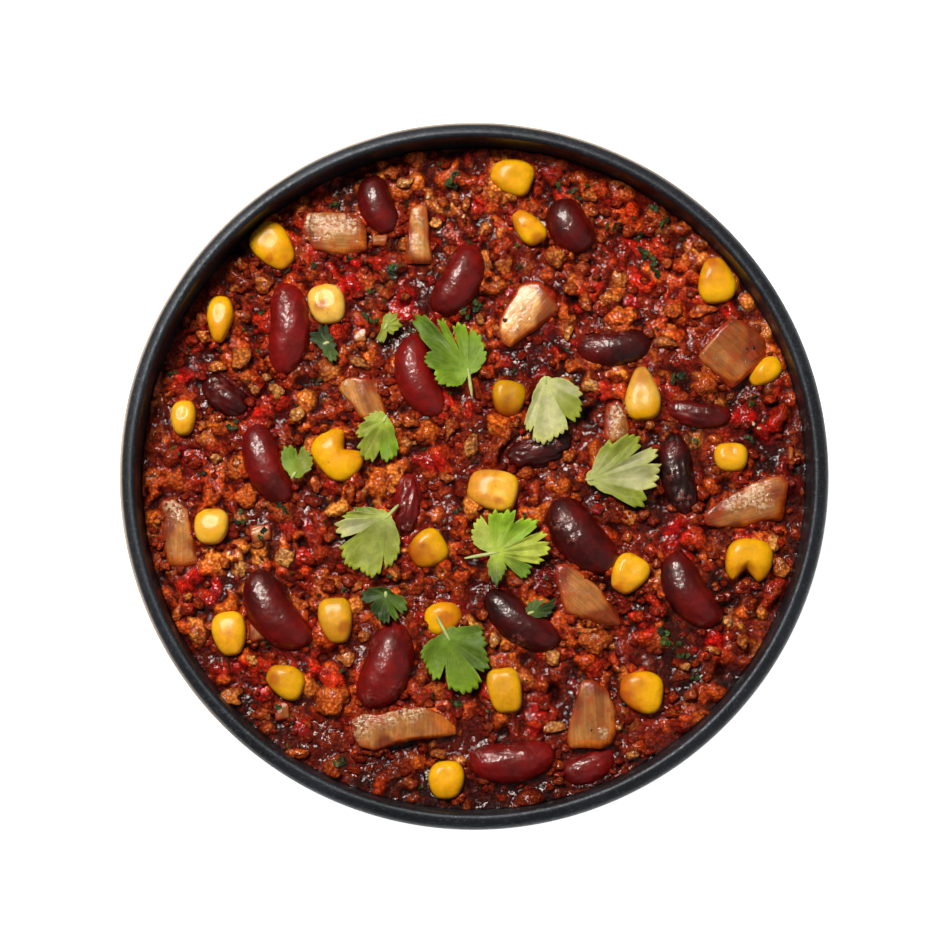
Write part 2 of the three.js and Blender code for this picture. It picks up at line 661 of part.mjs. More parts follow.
export default dish;
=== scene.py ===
import math

import bmesh
import bpy
import numpy as np
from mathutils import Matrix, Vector


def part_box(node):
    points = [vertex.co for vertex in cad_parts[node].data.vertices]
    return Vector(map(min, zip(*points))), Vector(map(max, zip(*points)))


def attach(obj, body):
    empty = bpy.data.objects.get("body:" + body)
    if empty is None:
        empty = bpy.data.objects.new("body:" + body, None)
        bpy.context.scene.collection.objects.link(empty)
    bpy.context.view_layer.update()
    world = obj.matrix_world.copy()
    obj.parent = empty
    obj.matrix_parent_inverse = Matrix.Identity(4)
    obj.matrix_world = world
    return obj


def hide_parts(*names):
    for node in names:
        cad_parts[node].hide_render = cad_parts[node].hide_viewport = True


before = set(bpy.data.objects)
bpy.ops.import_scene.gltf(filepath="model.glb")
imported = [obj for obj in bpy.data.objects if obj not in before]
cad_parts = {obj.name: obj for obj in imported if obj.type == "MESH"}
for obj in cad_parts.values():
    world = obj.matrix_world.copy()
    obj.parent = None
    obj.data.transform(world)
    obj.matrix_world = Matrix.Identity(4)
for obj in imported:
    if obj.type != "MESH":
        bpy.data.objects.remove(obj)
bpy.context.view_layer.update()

# Looks of a bowl of chili con carne: a black stoneware bowl, a minced sauce, and the kidney
# beans, sweetcorn, onion and coriander that lie in it.
#
# Shapes are worked out in millimetres and written to the meshes in metres. The larger pieces
# have about the places and sizes of their solids. The few that are one with the chili's solid,
# because they are half sunk or small, are pieces of their own here.

MM = 0.001


def rows(text):
    """Rows of numbers, with a comma after each row."""
    return [tuple(float(word) for word in row.split()) for row in text.split(",")]


def outlined(text):
    """Rows of a piece's values and the points of its outline, with a semicolon after each piece."""
    parts = [rows(part) for part in text.split(";")]
    return [(*values, outline) for values, *outline in parts]


def numbered(name, table):
    """The rows of a table, under names with numbers from 1."""
    return {name.format(number): row for number, row in enumerate(table, 1)}



# ---------------------------------------------------------------- sizes, in millimetres
BOWL_LOW, BOWL_HIGH = (np.array(corner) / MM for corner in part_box("bowl"))
RIM_RADIUS = BOWL_HIGH[0]
BOWL_HEIGHT = BOWL_HIGH[2]
LIP = 3.7  # thickness of the rounded lip
CURVE_CENTRE_RADIUS = 48.0  # the walls are quarter ellipses about this radius
FOOT_RADIUS = 46.0
FOOT_WIDTH = 5.0
FOOT_HEIGHT = 5.0
FOOT_RECESS = 2.5
FLOOR = 9.5  # height of the flat inner floor
FOOD_LOW, FOOD_HIGH = (np.array(corner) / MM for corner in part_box("chili"))
FOOD_RADIUS = FOOD_HIGH[0] + 0.25

SAUCE_LEVEL = 49.6  # mean height of the sauce
DOME = 1.0  # how much higher it stands in the middle
RASTER = 0.2  # spacing of the height field that the sauce's top is read from
RINGS = 176  # rings of the sauce's mesh

BEAN_THICKNESS = 0.78  # of its width
KERNEL_THICKNESS = 5.2
ONION_THICKNESS = 3.4
ONION_LEVEL = SAUCE_LEVEL - 0.9  # onion lies a little deeper than its solid
LIP_CURVE = np.array(rows(
    "0.012 3.1, 0.006 2.8, 0 2.2, 0.12 1.6, 0.4 1.1, 0.85 0.68, 1.4 0.36, 1.95 0.14, 2.4 0.03,"
    "2.75 0.02, 3.05 0.1, 3.35 0.26, 3.6 0.55, 3.74 1, 3.76 1.5"))  # in from the rim, down from the top
FLOOR_RADIUS = 24.0  # innermost ring of the bowl's flat floor
BOWL_SIDES = 240
CORE_GAP = 0.4  # between the food's body and the bowl
CORE_HEIGHTS = (43.0, 20.0)  # rings of its side
EDGE_GAP = 1.2  # that crumbs keep from the food's edge
GRAIN_SIZES = ((3.8, (1.8, 3.2), (-0.6, 0.8)), (2.4, (1.0, 1.9), (-1.0, 0.3)))  # spacing, length, height
LEAF_RINGS = 10
LEAF_HALF = 0.15  # half a leaf's thickness
LEAF_TOP = 55.4  # the highest that a leaf reaches
# Beans: x, y, heading, length, width, bend, height over the sauce, then from 0 to 1 how wrinkled
# it is, and from -1 to 1 how red. The sunk ones are one with the chili's solid.
BEANS = numbered("kidney_bean_{:02}", rows("""
    -42.6 34 87 21 10 0.6 0.2 0.2 0.9,
    -22 62.3 -70 13.8 8.6 0.3 0.2 0.1 0.1,
    -3.6 44.8 62 18 10 0.5 0.2 0.2 0.3,
    22.2 57.4 -60 13.6 10 0.3 0.2 0.1 0,
    -12.5 22.5 -71 19.6 9.8 0.9 0.1 0.1 1,
    32 29.6 6 17.2 8.6 0.4 0 0.1 -0.6,
    -47.3 2.6 -67 19.4 9.4 0.5 -0.2 0.2 0.3,
    -45.2 -31 -54 20.6 11 0.9 0.2 0.2 0.2,
    -20.2 -43.3 70 20.4 11.6 0.5 0 0.3 0.5,
    8.5 -64.7 6 19.6 9.8 0.5 0.2 0.3 0.5,
    24.3 -13.8 -50 20.4 11.6 0.6 0 0.1 -0.2,
    49 -26.3 -57 19.4 10.2 0.8 0.1 0.1 -0.1,
    10.6 -33.2 -36 20 9.8 0.6 -0.3 0.3 -0.4,
    15 6.2 20 16.6 8.6 0.4 -1.6 0.8 -0.9,
    46.6 0.4 -80 19 8.4 0.3 -0.3 0.7 -0.8,
    51.2 14.4 -8 15 6.6 0.3 -0.2 0.4 -0.1,
    -15.5 -6.6 84 14.6 7 0.2 -0.2 1 0.4
""")) | numbered("sunk_bean_{}", rows("""
    -57 18.6 -38 12.5 8.4 0.3 -1.9 0.8 -0.5,
    26 -66 22 13 7.6 0.3 -1.9 0.3 0.4
"""))

# Kernels: x, y, heading from tip to crown, length, width, depth of the notch left by the cob,
# height over the sauce, then the tip's width as a share of the crown's, how blocky it is, how
# far its top leans towards the window in degrees, how amber its tip is and how pale its top,
# the pale top being its cream and partly a painted highlight.
KERNELS = numbered("kernel_{:02}", rows("""
    -46 52.7 135 11.2 9 0 0.9 0.76 0.5 2 0.3 0.1,
    -58.1 35.8 87 10.8 6 0 0.9 0.6 0.3 6 0.4 0.1,
    -33.6 39.2 100 9.2 8.4 0 0.8 0.85 0.5 6 0.1 1,
    8.8 68.7 -20 9.8 8.2 0 0.8 0.8 0.6 0 0.15 0.1,
    12.5 57 -55 9 6.2 0 0.8 0.7 0.5 0 0.6 0.1,
    55.4 44.9 -82 10.8 9 0 0.8 0.6 0.5 0 0.35 0.2,
    -66.3 13.2 95 7.8 5.8 0 0.4 0.8 0.4 8 0.2 0.4,
    -31 5 220 10.4 12.2 3.4 0.8 0.94 0.25 4 0.35 0.1,
    7.9 17.8 80 8.2 8 0 0.2 0.8 0.5 0 1 0,
    38.5 18.8 -85 12.4 8.4 0 0.8 0.5 0.5 11 0.3 0.8,
    58.6 4.3 90 6.6 7.8 0 0.6 0.9 0.4 6 0.1 0.3,
    4.3 -3.1 -15 11.2 9.4 0 0.9 0.85 0.9 8 0.5 0.55,
    -59.8 -11.6 90 8 8 0 0.9 0.85 0.5 10 0.1 0.6,
    -10.5 -16.6 30 8.6 8.4 0 0.6 0.8 0.6 0 0.9 0.1,
    62.4 -19.5 85 10.4 10.8 3.6 0.8 0.94 0.3 0 0.4 0,
    35.3 -22.4 60 9.2 8.4 0 0.6 0.7 0.6 4 0.3 0.3,
    -55.5 -35.9 98 10 7.8 0 0.9 0.75 0.5 6 0.2 0.3,
    -31.3 -32.9 95 10.6 7.8 0 0.5 0.75 0.6 6 0.4 0.4,
    -42.8 -46.7 -20 9 7.6 0 0.7 0.7 0.5 0 0.5 0.2,
    7 -48.8 97 10.4 7.6 0 0.9 0.88 1 4 0.15 0.2,
    37.9 -49 -8 10 9.6 0 0.8 0.75 0.6 0 0.9 0.1,
    -6.2 -69 92 8.6 8.2 0 0.6 0.85 0.4 3 0.25 0.1
""")) | numbered("sunk_kernel_{}", rows("""
    66.6 23.8 32 8.4 5.6 0 -0.2 0.7 0.3 0 0.2 0.1,
    -7 -32.3 200 8.6 7.4 0 -0.4 0.8 0.3 0 0.7 0
"""))

# Onion pieces: heading of the fibres, height over the sauce, how pale it is and how orange at its
# edges from 0 to 1, and then the corners of its outline.
ONIONS = numbered("onion_piece_{:02}", outlined("""
    -4 1.4 0.7 0.9, -38.9 60.2, -33 60.6, -27.8 60.3, -25.8 58.9, -24.7 56.5, -24.6 52, -26.5 51.1,
    -31.5 50.4, -37 52, -39.2 56.2;
    -88 1.3 0.8 0.6, -14.6 61.6, -12.2 62.6, -10.7 61.5, -10.2 56, -9.3 49.3, -9.9 48.5,
    -15.2 48.5, -16 49.6, -15.2 55;
    47 1.7 1.4 0.9, 10.4 43.4, 13.5 44.6, 15.4 44.3, 19.4 38.2, 17 35.4, 12 32, 8.2 29.2, 6.4 30.2,
    5.6 32.4, 5.9 35, 7 38, 9 40.8;
    -42 1.1 0.35 0.8, 59 36.9, 63 34.6, 66.8 31, 66.6 27, 63.8 24, 60.6 21.2, 58.8 20.2, 52.2 26,
    51.1 27.5, 54 31.2;
    -87 0.6 0.5 0.6, -71.5 -6.2, -69.5 -5.3, -66.8 -5.8, -65.2 -7.8, -64.3 -11.5, -63.5 -14.4,
    -62.7 -20, -66.5 -20.7, -69.6 -20.4, -70.8 -17, -71.4 -11;
    -42 0.8 0.75 0.7, 18.6 -20.4, 21.2 -19.8, 24.8 -22.4, 29 -26, 31 -29, 33 -32.4, 33.2 -34,
    30.5 -34.2, 25 -32.8, 20.6 -31.2, 19.8 -28, 19 -24.5;
    -88 1.3 0.5 0.9, 24.6 -46.6, 26.6 -46.4, 29.8 -48.2, 32 -52.5, 32.6 -57, 31.4 -60.8,
    28.8 -61.8, 25 -61.9, 21.8 -61.8, 21 -60.3, 21.8 -55, 23.4 -49.6;
    88 1.4 0.35 0.9, -27.8 -55.2, -25 -54, -21.5 -54.3, -17.5 -53, -13.5 -52.4, -10 -52.8,
    -7 -54.6, -4.2 -57, -4 -58.9, -8.5 -59.4, -14 -60, -18 -61, -22.5 -62.4, -26 -61.6, -28 -58.2;
    17 1.15 0.3 0.9, 52.4 -8.8, 54.5 -6.8, 58 -4.8, 62.2 -2.2, 66 -0.4, 70 0.2, 71.7 -1.6, 71.2 -6,
    70 -10.3, 66.5 -10.2, 62 -11.6, 56 -11.8, 52.8 -11.2;
    -70 0.6 0.6 0.8, -30.5 21.5, -28 22.7, -22.4 22.1, -21.2 19, -20 15.5, -19.4 13.2, -21 12,
    -24.5 12.4, -26.2 13.5, -28.5 17, -31 20
""")) | numbered("sunk_onion_{}", outlined("""
    80 0.2 0.2 0.6, 30.4 16.6, 33 17.2, 34.8 14.5, 36 10, 35.2 7.6, 31.5 7, 29.6 8.5, 29.6 13
""")) | numbered("onion_bit_{}", outlined("""
    20 0.3 0.2 0.2, -51.2 -11.2, -46.4 -11, -45.8 -14.8, -50.4 -15.8;
    70 0.4 0.1 0.4, -51.4 -32.6, -46 -32.4, -45.4 -37.2, -50.8 -38;
    60 0.2 0.2 0.5, -45.4 -51.2, -42 -51.6, -41.4 -55.4, -45 -56;
    10 0.1 0.1 0.5, -23.4 55.6, -19.6 55.2, -20 52.4, -23.2 52.8;
    40 0.3 0.6 0.3, -27.8 33.6, -24.6 33.8, -24.4 30.6, -27.4 30.4;
    85 0.6 0.2 0.6, 71.6 6.8, 72.8 6.4, 73 3.2, 71.4 3.4
"""))

# Froth and wrinkled film on beans and onion, pale patches that are partly painted highlights:
# x, y, radius.
FROTH_AND_HIGHLIGHTS = rows("""
    -36.6 58.2 2.8, -33 57 3.8, -28.6 57.6 3.2, -12.6 58.4 1.5, -13 53 2.2, -68.8 -6.8 2.2,
    -67.2 -9 2, -25.2 -56.8 3.2, -19 -55.4 2.2, -15.2 -53.8 2.6, -12.4 -53 2.2, 58.8 -6.2 2.6,
    62.4 -4.8 3.2, 65.4 -6 2.6, 64.2 -2.2 2.2, -29.6 21.8 1.6, -20.6 20.6 1.6, 32.6 14.2 2,
    32 10.8 2, 29.6 -58.6 1.6, -43.6 41 1.8, 26 31.4 1.8, 30 32.8 1.5, 34 33 1.4, 19 -11 1.8,
    22.4 -15 1.4, 12 7 1.6, 19 7.4 1.4, 45.4 6.2 1.6, 47.4 -5.6 2.2, 44.8 0 1.2, -15.8 -1.2 1.4,
    -15 -12.2 1.4, -23.6 -38 1.6, -17 -49 2, -24 -50.4 1.6, -40.6 -25.8 1.4, 1 -63.2 1.6,
    8 -61.8 1.4, -5.4 51.2 1.4, 10 -38 1.6, 51 -35 1.8, -58 20.6 1.6, 12 37.6 2.6, 9 34 1.6
""")

# Brown and orange stains on the sweetcorn: x, y, radius.
CORN_STAINS = rows("""
    -35 39 1.7, -28.4 7.4 1.9, -11.8 -16 0.8, -29.6 -34.2 1.7, -45.2 -46.6 1.6, 33.8 -50.8 2.4,
    32.8 -26 1.8, 61.8 -21.8 1.7, 4.8 66.6 1.4, 14.6 54.2 1.8, 54.2 49.4 1.6, 5.6 -5.8 1.2,
    -46.6 49.6 1.2, -6.8 -32.4 2, 38.2 12.6 1
""")

# How much darker or lighter than the others a few pieces are.
SHADES = {
    "kernel_09": 0.66, "kernel_14": 0.84, "kernel_18": 0.8, "kernel_19": 0.84, "kernel_20": 0.82,
    "kernel_15": 0.92, "kernel_10": 0.88, "kernel_04": 0.9, "onion_piece_03": 1.15, "onion_piece_08": 0.9,
    "leaf_01": 0.9, "leaf_02": 0.84, "leaf_03": 0.58, "leaf_04": 0.84, "leaf_05": 0.74, "leaf_06": 0.76,
    "leaf_07": 1.15, "leaf_08": 0.7, "leaf_09": 0.72, "herb_a": 0.62, "herb_b": 0.52, "herb_c": 0.42,
}

# Pepper specks: x, y, size. Pale seeds: x, y, length.
PEPPER = rows("""
    28.8 11.8 1.3, 41.7 33.7 1.2, 45.4 30.8 1, 63.8 29.2 1, 7 35.5 1.3, -49.5 18.6 1, 34 -52 1.3,
    26.6 -57.7 0.8, 62.2 29 0.7, -21.4 -50.6 0.8
""")
SEEDS = rows("""
    63.8 12 1.8, 65 10.8 1.6, -10.6 64 1.8, -2.4 59.6 1.6
""")

# Leaves: hub x and y, the stalk's direction and length, and then the outline round the hub:
# directions in degrees and reaches of the teeth, and after a minus sign of the slits' feet.
LEAVES = numbered("leaf_{:02}", outlined("""
    -1.3 24 -82 6, -30 -1.2, 10 2.8, 33 4.9, 44 5.9, 60 7.1, 71 8.7, 80 9.2, 86 9.8, 89 -7.6,
    94 10.6, 102 11.3, 110 10.7, 113 -4.8, 116 13.1, 122 13.5, 125 -9.5, 128 16, 133 17.8, 139 17,
    146 13, 152 -9.2, 158 10.2, 164 10.4, 170 10.2, 176 9.3, 181 -7.4, 188 7.9, 197 8, 206 7.6,
    220 6.1, 228 5.2, 236 4.6, 246 3.7, 262 -1;
    -20.5 12.4 60 1.2, 0 -1.4, 60 -1, 110 2.4, 132 3, 152 3.6, 173 4.6, 182 -4, 191 6, 204 7,
    214 7.1, 220 -5.5, 225 8.6, 237 9.8, 245 9.9, 255 9.8, 262 -6.6, 267 8.8, 274 9.5, 282 8.8,
    290 8.5, 298 7.3, 308 -4, 335 -2.2;
    -40.8 0.2 235 1, 5 2.3, 16 4, 30 4.9, 42 5.7, 57 6.4, 71 6.8, 76 6.3, 80 -3.9, 87 5.8, 97 6.8,
    110 6.9, 120 5.9, 130 4.8, 142 3.6, 164 -1.5, 270 -0.5;
    16.3 21.3 100 1.2, 30 -1.6, 100 -1.2, 180 -1.4, 212 -2.6, 235 -5.6, 240 8.9, 243 10.8,
    248 11.9, 253 12, 255 -10, 257 13.6, 268 14.4, 282 12.9, 295 12.1, 300 -8.9, 306 11.4,
    315 11.2, 322 10.5, 329 9.8, 335 -8.2, 342 9, 350 7.8, 357 6.1;
    26.5 -0.9 183 1, -60 -1.6, -36 -6, -33 11.8, -27 13.8, -19 13.6, -12 -12, -6 15.1, 1 15.6,
    7 15.8, 12 16.5, 15 -13.3, 19 16.2, 24 16.7, 28 15.6, 30 -10, 33 13.8, 41 15.1, 51 13.4,
    58 -9.4, 65 10.1, 72 7.4, 84 -2.2, 180 -0.7;
    -19.7 -9.5 47 3.6, 20 -1, 90 -1, 140 -2.6, 155 5.7, 164 8.1, 168 -7, 173 9.2, 179 10.4,
    182 -9.4, 187 12.1, 196 12.2, 204 11.4, 209 -7, 212 13, 221 13.7, 228 14.5, 237 14.2, 246 13.8,
    256 14.4, 263 12.9, 265 -8.5, 268 11.8, 275 11.1, 282 9.9, 289 8.6, 297 6.5, 312 -3, 340 -1.2;
    5 -17.6 190 7.1, -49 -2.8, -45 8.3, -39 9, -31 9.2, -21 8.9, -18 -6.4, -15 10.1, -9 11.2,
    -6 -9.6, -2 11.8, 4 12.4, 11 12.3, 15 -9.6, 19 12.5, 25 11.6, 28 -6.7, 32 10.9, 38 12.2, 45 11,
    53 9.9, 59 -7.6, 65 10.6, 75 10.2, 83 9, 91 9.9, 101 8.9, 106 -6.2, 112 9.2, 127 8.5, 138 7.6,
    148 6.7, 158 5.6, 175 -2, 205 -1.4, 220 -1.8, 234 3.6, 252 5.5, 263 6.7, 271 7.8, 281 6.3,
    291 5.2, 303 4.6;
    -20 -27.2 90 0.8, 22 -1.6, 100 -1.6, 140 -2.6, 158 4.3, 175 5.8, 191 6, 203 4.9, 208 -2.8,
    216 4.4, 226 5, 238 5.4, 256 6.1, 267 6.5, 277 6.6, 283 -4.4, 291 6.4, 300 6.1, 306 -2.7,
    311 5.9, 325 6, 340 5.3, 354 4.2, 364 2.3;
    -5.8 -37 118 5.4, 0 8.4, 10 8, 18 8.2, 25 7.5, 33 5, 50 -3, 76 2.9, 105 -1.8, 150 -1.8, 178 -3,
    189 4.6, 198 6, 207 7.2, 216 7.7, 225 7.8, 233 8.5, 241 9, 250 10.2, 258 9.5, 263 -5.6,
    270 11.6, 278 12.1, 285 13.2, 292 13.3, 300 13.3, 308 12.4, 311 -8.7, 316 11.1, 324 11.6,
    331 10.6, 338 9.5, 345 -8.2, 352 9
""")) | dict(zip(("herb_a", "herb_b", "herb_c"), outlined("""
    -20 34.2 243 0.8, 0 3.7, 15 -2.9, 28 3.4, 37 -2.8, 49 4.1, 61 -2.9, 76 3.4, 90 2.8, 135 -1.1,
    200 -1.2, 223 1.8, 234 3.9, 246 4, 261 4, 280 -1.2, 307 2.6, 326 -2.2, 340 2.9;
    13 -31.2 200 0.8, 0 4.8, 16 5.6, 30 6.6, 37 -1.6, 42 4.6, 73 3.3, 103 2.6, 144 1.7, 200 -0.8,
    294 -1, 333 2.5, 347 3.8;
    -33.6 30.2 200 0.6, 30 2, 76 -2.3, 91 4.4, 110 4.6, 128 -3.2, 149 4.7, 168 4.1, 186 -2.2,
    241 -1.8, 261 3.2, 284 4.6, 298 4.7, 316 4, 326 -2.2, 348 2.4
""")))
# The tone of each of their lobes, as a letter of LEAF_COLOURS.
LEAF_TONES = dict(zip(LEAVES, "FFFMMF LLLF FL PPLP LPPLL MLPLL MLLLFFLDD DDMM MFFMM LLLL MDD DDMDD".split()))

# Crumbs of mince that stand out: x, y, length, width.
LARGE_CRUMBS = rows("""
    -48 44 5 4, -44.5 47.5 4 2.4, -52.5 37 5 3.5, -53.5 48.5 2.4 3, -9 58 3.5 4, -7 63 3 3,
    -2 62 3 4, -5 51.5 4 3, -19 69.5 4 3, -15.5 67.5 5 3, 18.5 50 6 5, 26.5 64.5 4 4,
    29.2 54.5 3 2.5, 33 45.5 5 7, 31 41 6 4, 25.5 39.5 3 5, 22 43 4 3, 52 38 8 4, 45 38 5 4,
    44 30.5 6 3.4, -53 27 5.5 6, -59 25 5 3, -62 32 4 4, -45 19.5 4 4, -50 20 3 3, -47.5 22.5 3 2,
    -40 14 4 4, -62 11.5 3 4, -59 4 4 3, -54 3 3 3, -14.5 12.5 4 3.5, -15 8 5.5 3.5, -5.5 11 2.5 6,
    -26 26 6 3, -31 22 6 3, -0.5 7 4 5, 27 20.6 5 4, 22 25 4 3, 9 12.4 3 3, 7.5 10 4 3, 1.5 36 3 3,
    21.5 33 3 4, 55 8.5 4 3, -52 -4.5 5 6, -53.5 -21.5 4 5, -43 -18.5 5 5, -65 -27.5 3 3,
    -67 -31 3 5, -18 -22.5 3 3.5, -26.5 -25 4 4, -6.5 -0.5 4 3, -19 -3 3 3, -33 -14 3 2.5,
    -36 -2 3 5, -28 -4 3 5, -13 -26 3 3, 35.5 -9.5 4 4, 35 -14 3 3, 12 0.5 5 3, 68 -15 4 5,
    70 -21 4 5, 58 -33 3 4, 65.5 -31 3 4, -55 -50.5 6.5 4.5, -48.5 -54 4 3, -40 -63 7 2.5,
    -50.5 -42 3 3, -29.5 -41.5 5.5 4.5, -11.5 -45.8 3 5.5, -32 -50.5 9 7, -25 -36.5 3 3,
    -8 -63 4 3, 4.5 -37.5 3 4, 18 -41.5 4.5 4, 27.5 -37.5 8 6, 18 -57 6 3, 36 -63 4 3,
    54.5 -39.8 4.5 2.5, 60.7 -38 3 4, 48 -52 3.5 2.5, 52 -53.5 4 2.5, 47.8 -43.5 3 2, 33 -57 3 3,
    -38 27.5 4 3
""")

# Tomato: x, y, length, width.
TOMATO = rows("""
    -27 48 6 4, -29 43.5 7 5, -16 39 8 6, -49 14.6 5 3, -63.5 -22 5 4, -59 -25 4 3, -66 -25 4 3,
    -53 -43 5 3.4, -48 -49.5 5 3.4, -39 -57 5 4, 46 -13 8 5, 55 -37 4 5, 62 14 6 5, 67 10 5 4,
    14.5 -53 4 2.5, 22.5 -48 2.5 4, 13.6 -58 4 3, -9 36 4 4, 58 38 5 3.5, -66 23 4 5, -66 4.6 3 5,
    6 -26 4 3, -38 -12 4 3, 1 62 4 3, 36 40 4 3, -8 4 4 3, 27 2 4 3, 40 -36 4 3, -58 -44 4 4,
    20 66 4 3, -36 66 4 3
""")

# Deep hollows: x, y, radius, depth.
HOLLOWS = rows("""
    56 -43.6 2.6 3, 17.6 -49.2 3.2 3, -34.5 -41.5 2.2 2.2, 26.6 14.2 2.8 2.4, -54.6 52 2.2 2.4,
    43 -5 2.2 2.6, 4.6 47 2 2.4, 9 -25.4 2.2 2.4
""")

# Where the mince is darker, redder or more orange: x, y, radius.
DARKER = rows("""
    28 -8 8, 45 3 8, 50 15 6, 40 -8 6, 53 -28 8, 45 -44 8, 28 -28 7, 5 -28 7, 20 -48 6, 28 -62 11,
    2 -60 8, -14 -60 5, -28 -38 7, -44 -28 6, -35 -62 7, -60 -40 6, -57 18 7, -10 42 6, -38 25 5,
    63 20 6, 70 -5 7, 12 5 4, 60 -48 7, 66 6 6, -36 -5 4, -20 -64 7, 26 14 5, -54 53 5, 50 -66 10,
    0 -75 7, 14 -74 7, -14 -73 7, 28 -70 7, -27 -69 6, 74 0 5, -2 42 4, -70 14 4, 16 -22 5,
    0 -70 6, -8 -68 5, -52 -54 6, -44 -60 6
""")
REDDER = rows("""
    -16 39 6, -28 46 6, -47 16 9, -30 15 5, 15 30 8, 8 27 6, 48 42 7, 46 -14 6, 54 -38 5,
    -50 -45 7, -40 -42 6, -61 -25 6, -68 -14 5, 64 12 6, -62 2 6, 36 50 6, 26 40 5, -64 30 6,
    16 -53 6, 44 -53 6, -4 -30 4, -8 4 5, 36 -33 5, -24 56 5, 34 62 6
""")
ORANGER = rows("""
    -43 -18 6, -70 -10 4, -52 25 6, -28 23 6, -18 5 6, -1 8 5, 33 45 7, -20 -3 5, -12 -25 5,
    29 -37 6, -33 -50 6, -9 55 6, -19 67 5, 20 50 5, 50 37 6, 59 -33 4, 67 -20 6, -49 45 6,
    26 21 5, -55 -18 5, 10 10 5, 55 8 5, -56 -52 5, 44 31 4, -25 -24 4
""")

# Herb flecks: x, y, length, width.
HERBS = rows("""
    -43.5 46.9 3 2, -37.5 48.4 2.4 1.6, -32.5 63 3 2, -28.5 50 2.4 1.4, -5.6 67.6 4 3,
    -5 69.6 3 2.4, -8.4 71.4 2.4 1.6, -23.5 43 2.4 1.6, -24 36 4.5 2, -1 54 2.2 1.4,
    -1.2 37.2 4 1.6, 20.5 66.5 4 2.2, 22.6 64.9 3.5 1.8, 31 58.2 6 1, 6.5 61.9 2 1.2,
    9.3 52.4 2 1.6, 37.5 52 2.4 1.6, 9.8 48.2 2 1.4, 1.5 39.6 4 3, -55.3 11.5 3.5 2,
    -52.5 33.4 2 1.4, -69 24 2.4 1.4, -68 5.7 2 1.2, -36 22 2.4 1.4, -18 46.5 5 4, 46.8 22.4 4 2.5,
    49 9.6 4 2, 63.5 17.2 3.5 1.2, 63 8 3 2, -53.3 -9.3 3.5 2, -43.3 -7.6 3 2, -52.5 -5 2 1.2,
    -29.7 -26.6 2.4 1.4, -4 -8 2.4 1.4, -43.7 -51.6 3 1.2, -47.5 -38.2 2 2, -42 -55.5 2.4 1.4,
    -29.7 -64.5 4.5 1.5, -3.5 -52 2.5 2, 46 -39 3 1.6, 47.6 -41.6 3 1.8, 42.5 -36.5 4 3,
    50 -46 2.4 1.4, 40.6 50 4 2.4, 41.6 47.3 3.4 2, 41.3 61.5 3 1.8, 43.5 58 3 1.6,
    38.6 55.4 3 1.4, -62 0.6 2.4 1.4, -48.5 -13.2 4 3
""")
# Colours of things, as red, green and blue from 0 to 255 on a screen.
MINCE = [
    ((206, 96, 30), 5), ((186, 70, 20), 6), ((160, 46, 14), 5), ((216, 130, 60), 2),
    ((134, 28, 10), 4), ((184, 28, 10), 4), ((104, 28, 10), 3),
]
SAUCE_DEEP = (64, 15, 2)
SAUCE_THIN = (130, 34, 8)
TOMATO_RED = (186, 20, 12)
BEAN_DEEP = (32, 3, 3)
BEAN_RED = (130, 12, 8)
# Pale film on beans, partly a painted highlight:
BEAN_FILM_HIGHLIGHT = (136, 70, 62)
CORN_YELLOW = (255, 184, 0)
CORN_AMBER = (196, 88, 6)
CORN_CREAM_AND_HIGHLIGHT = (252, 208, 104)
ONION_PALE = (222, 152, 82)
ONION_TAN = (158, 86, 36)
ONION_EDGE = (240, 122, 16)
# Pale froth on onion, partly a painted highlight:
ONION_FROTH_HIGHLIGHT = (228, 194, 152)
STAIN = (140, 34, 8)
HERB_GREEN = (66, 90, 26)
HERB_DARK = (24, 34, 12)
PEPPER_BLACK = (16, 12, 10)
SEED_CREAM = (206, 178, 130)
# Near-black red of the deepest gaps, a painted shade:
GAP_SHADE_RED = (34, 5, 3)
SAUCE_FLECK = (176, 62, 20)
CRUMB_SUNK = (112, 26, 10)
CRUMB_BRIGHT = ((214, 118, 54), (200, 90, 34), (222, 148, 86))
BEAN_SUNK = (104, 18, 8)
CORN_STAIN = (190, 82, 14)
CORN_SUNK = (168, 62, 8)
ONION_FILM = (176, 64, 14)
ONION_SPECK = (196, 66, 14)
ONION_SUNK = (128, 38, 10)
ONION_RIM = (170, 40, 12)
STALK = (196, 208, 130)
GLAZE_DARK = (15, 17, 21)
GLAZE_LIGHT = (28, 31, 38)
GLAZE_SPECK = (84, 88, 96)
CLAY_AND_RIM_LIGHT_TAN = (206, 184, 160)
LEAF_COLOURS = {
    "P": (206, 208, 142),
    "L": (162, 174, 60),
    "F": (132, 168, 34),
    "M": (96, 128, 30),
    "D": (46, 72, 18),
}
VEIN = (206, 206, 140)
LEAF_EDGE = np.array([1.27, 1.27, 0.85])  # what the edges' green is multiplied by
LEAF_MIDRIB = np.array([1.3, 1.15, 1.7])
# What the mince's colours are multiplied by where it is redder, more orange or darker.
REDDER_BY = np.array([1.0, 0.4, 0.4])
ORANGER_BY = np.array([1.25, 1.35, 1.2])
DARKER_BY = np.array([0.3, 0.2, 0.22])
# What the shaders multiply by: the lows and tops of the mince's grain, painted darker and
# paler (painted shade and light), and the onion's fibres.
GRAIN_SHADED_LOW = (0.76, 0.48, 0.32, 1)
GRAIN_LIT_TOP = (1.68, 1.86, 1.45, 1)
STRAND_DARK = (0.86, 0.8, 0.68, 1)
STRAND_LIGHT = (1.06, 1.08, 1.06, 1)


def linear(colour):
    """A screen colour as linear light."""
    c = np.asarray(colour, float) / 255
    return np.where(c <= 0.04045, c / 12.92, ((c + 0.055) / 1.055) ** 2.4)


def smooth(x, low, high):
    """From 0 to 1 as x goes from low to high, with soft ends."""
    t = np.clip((x - low) / (high - low), 0, 1)
    return t * t * (3 - 2 * t)


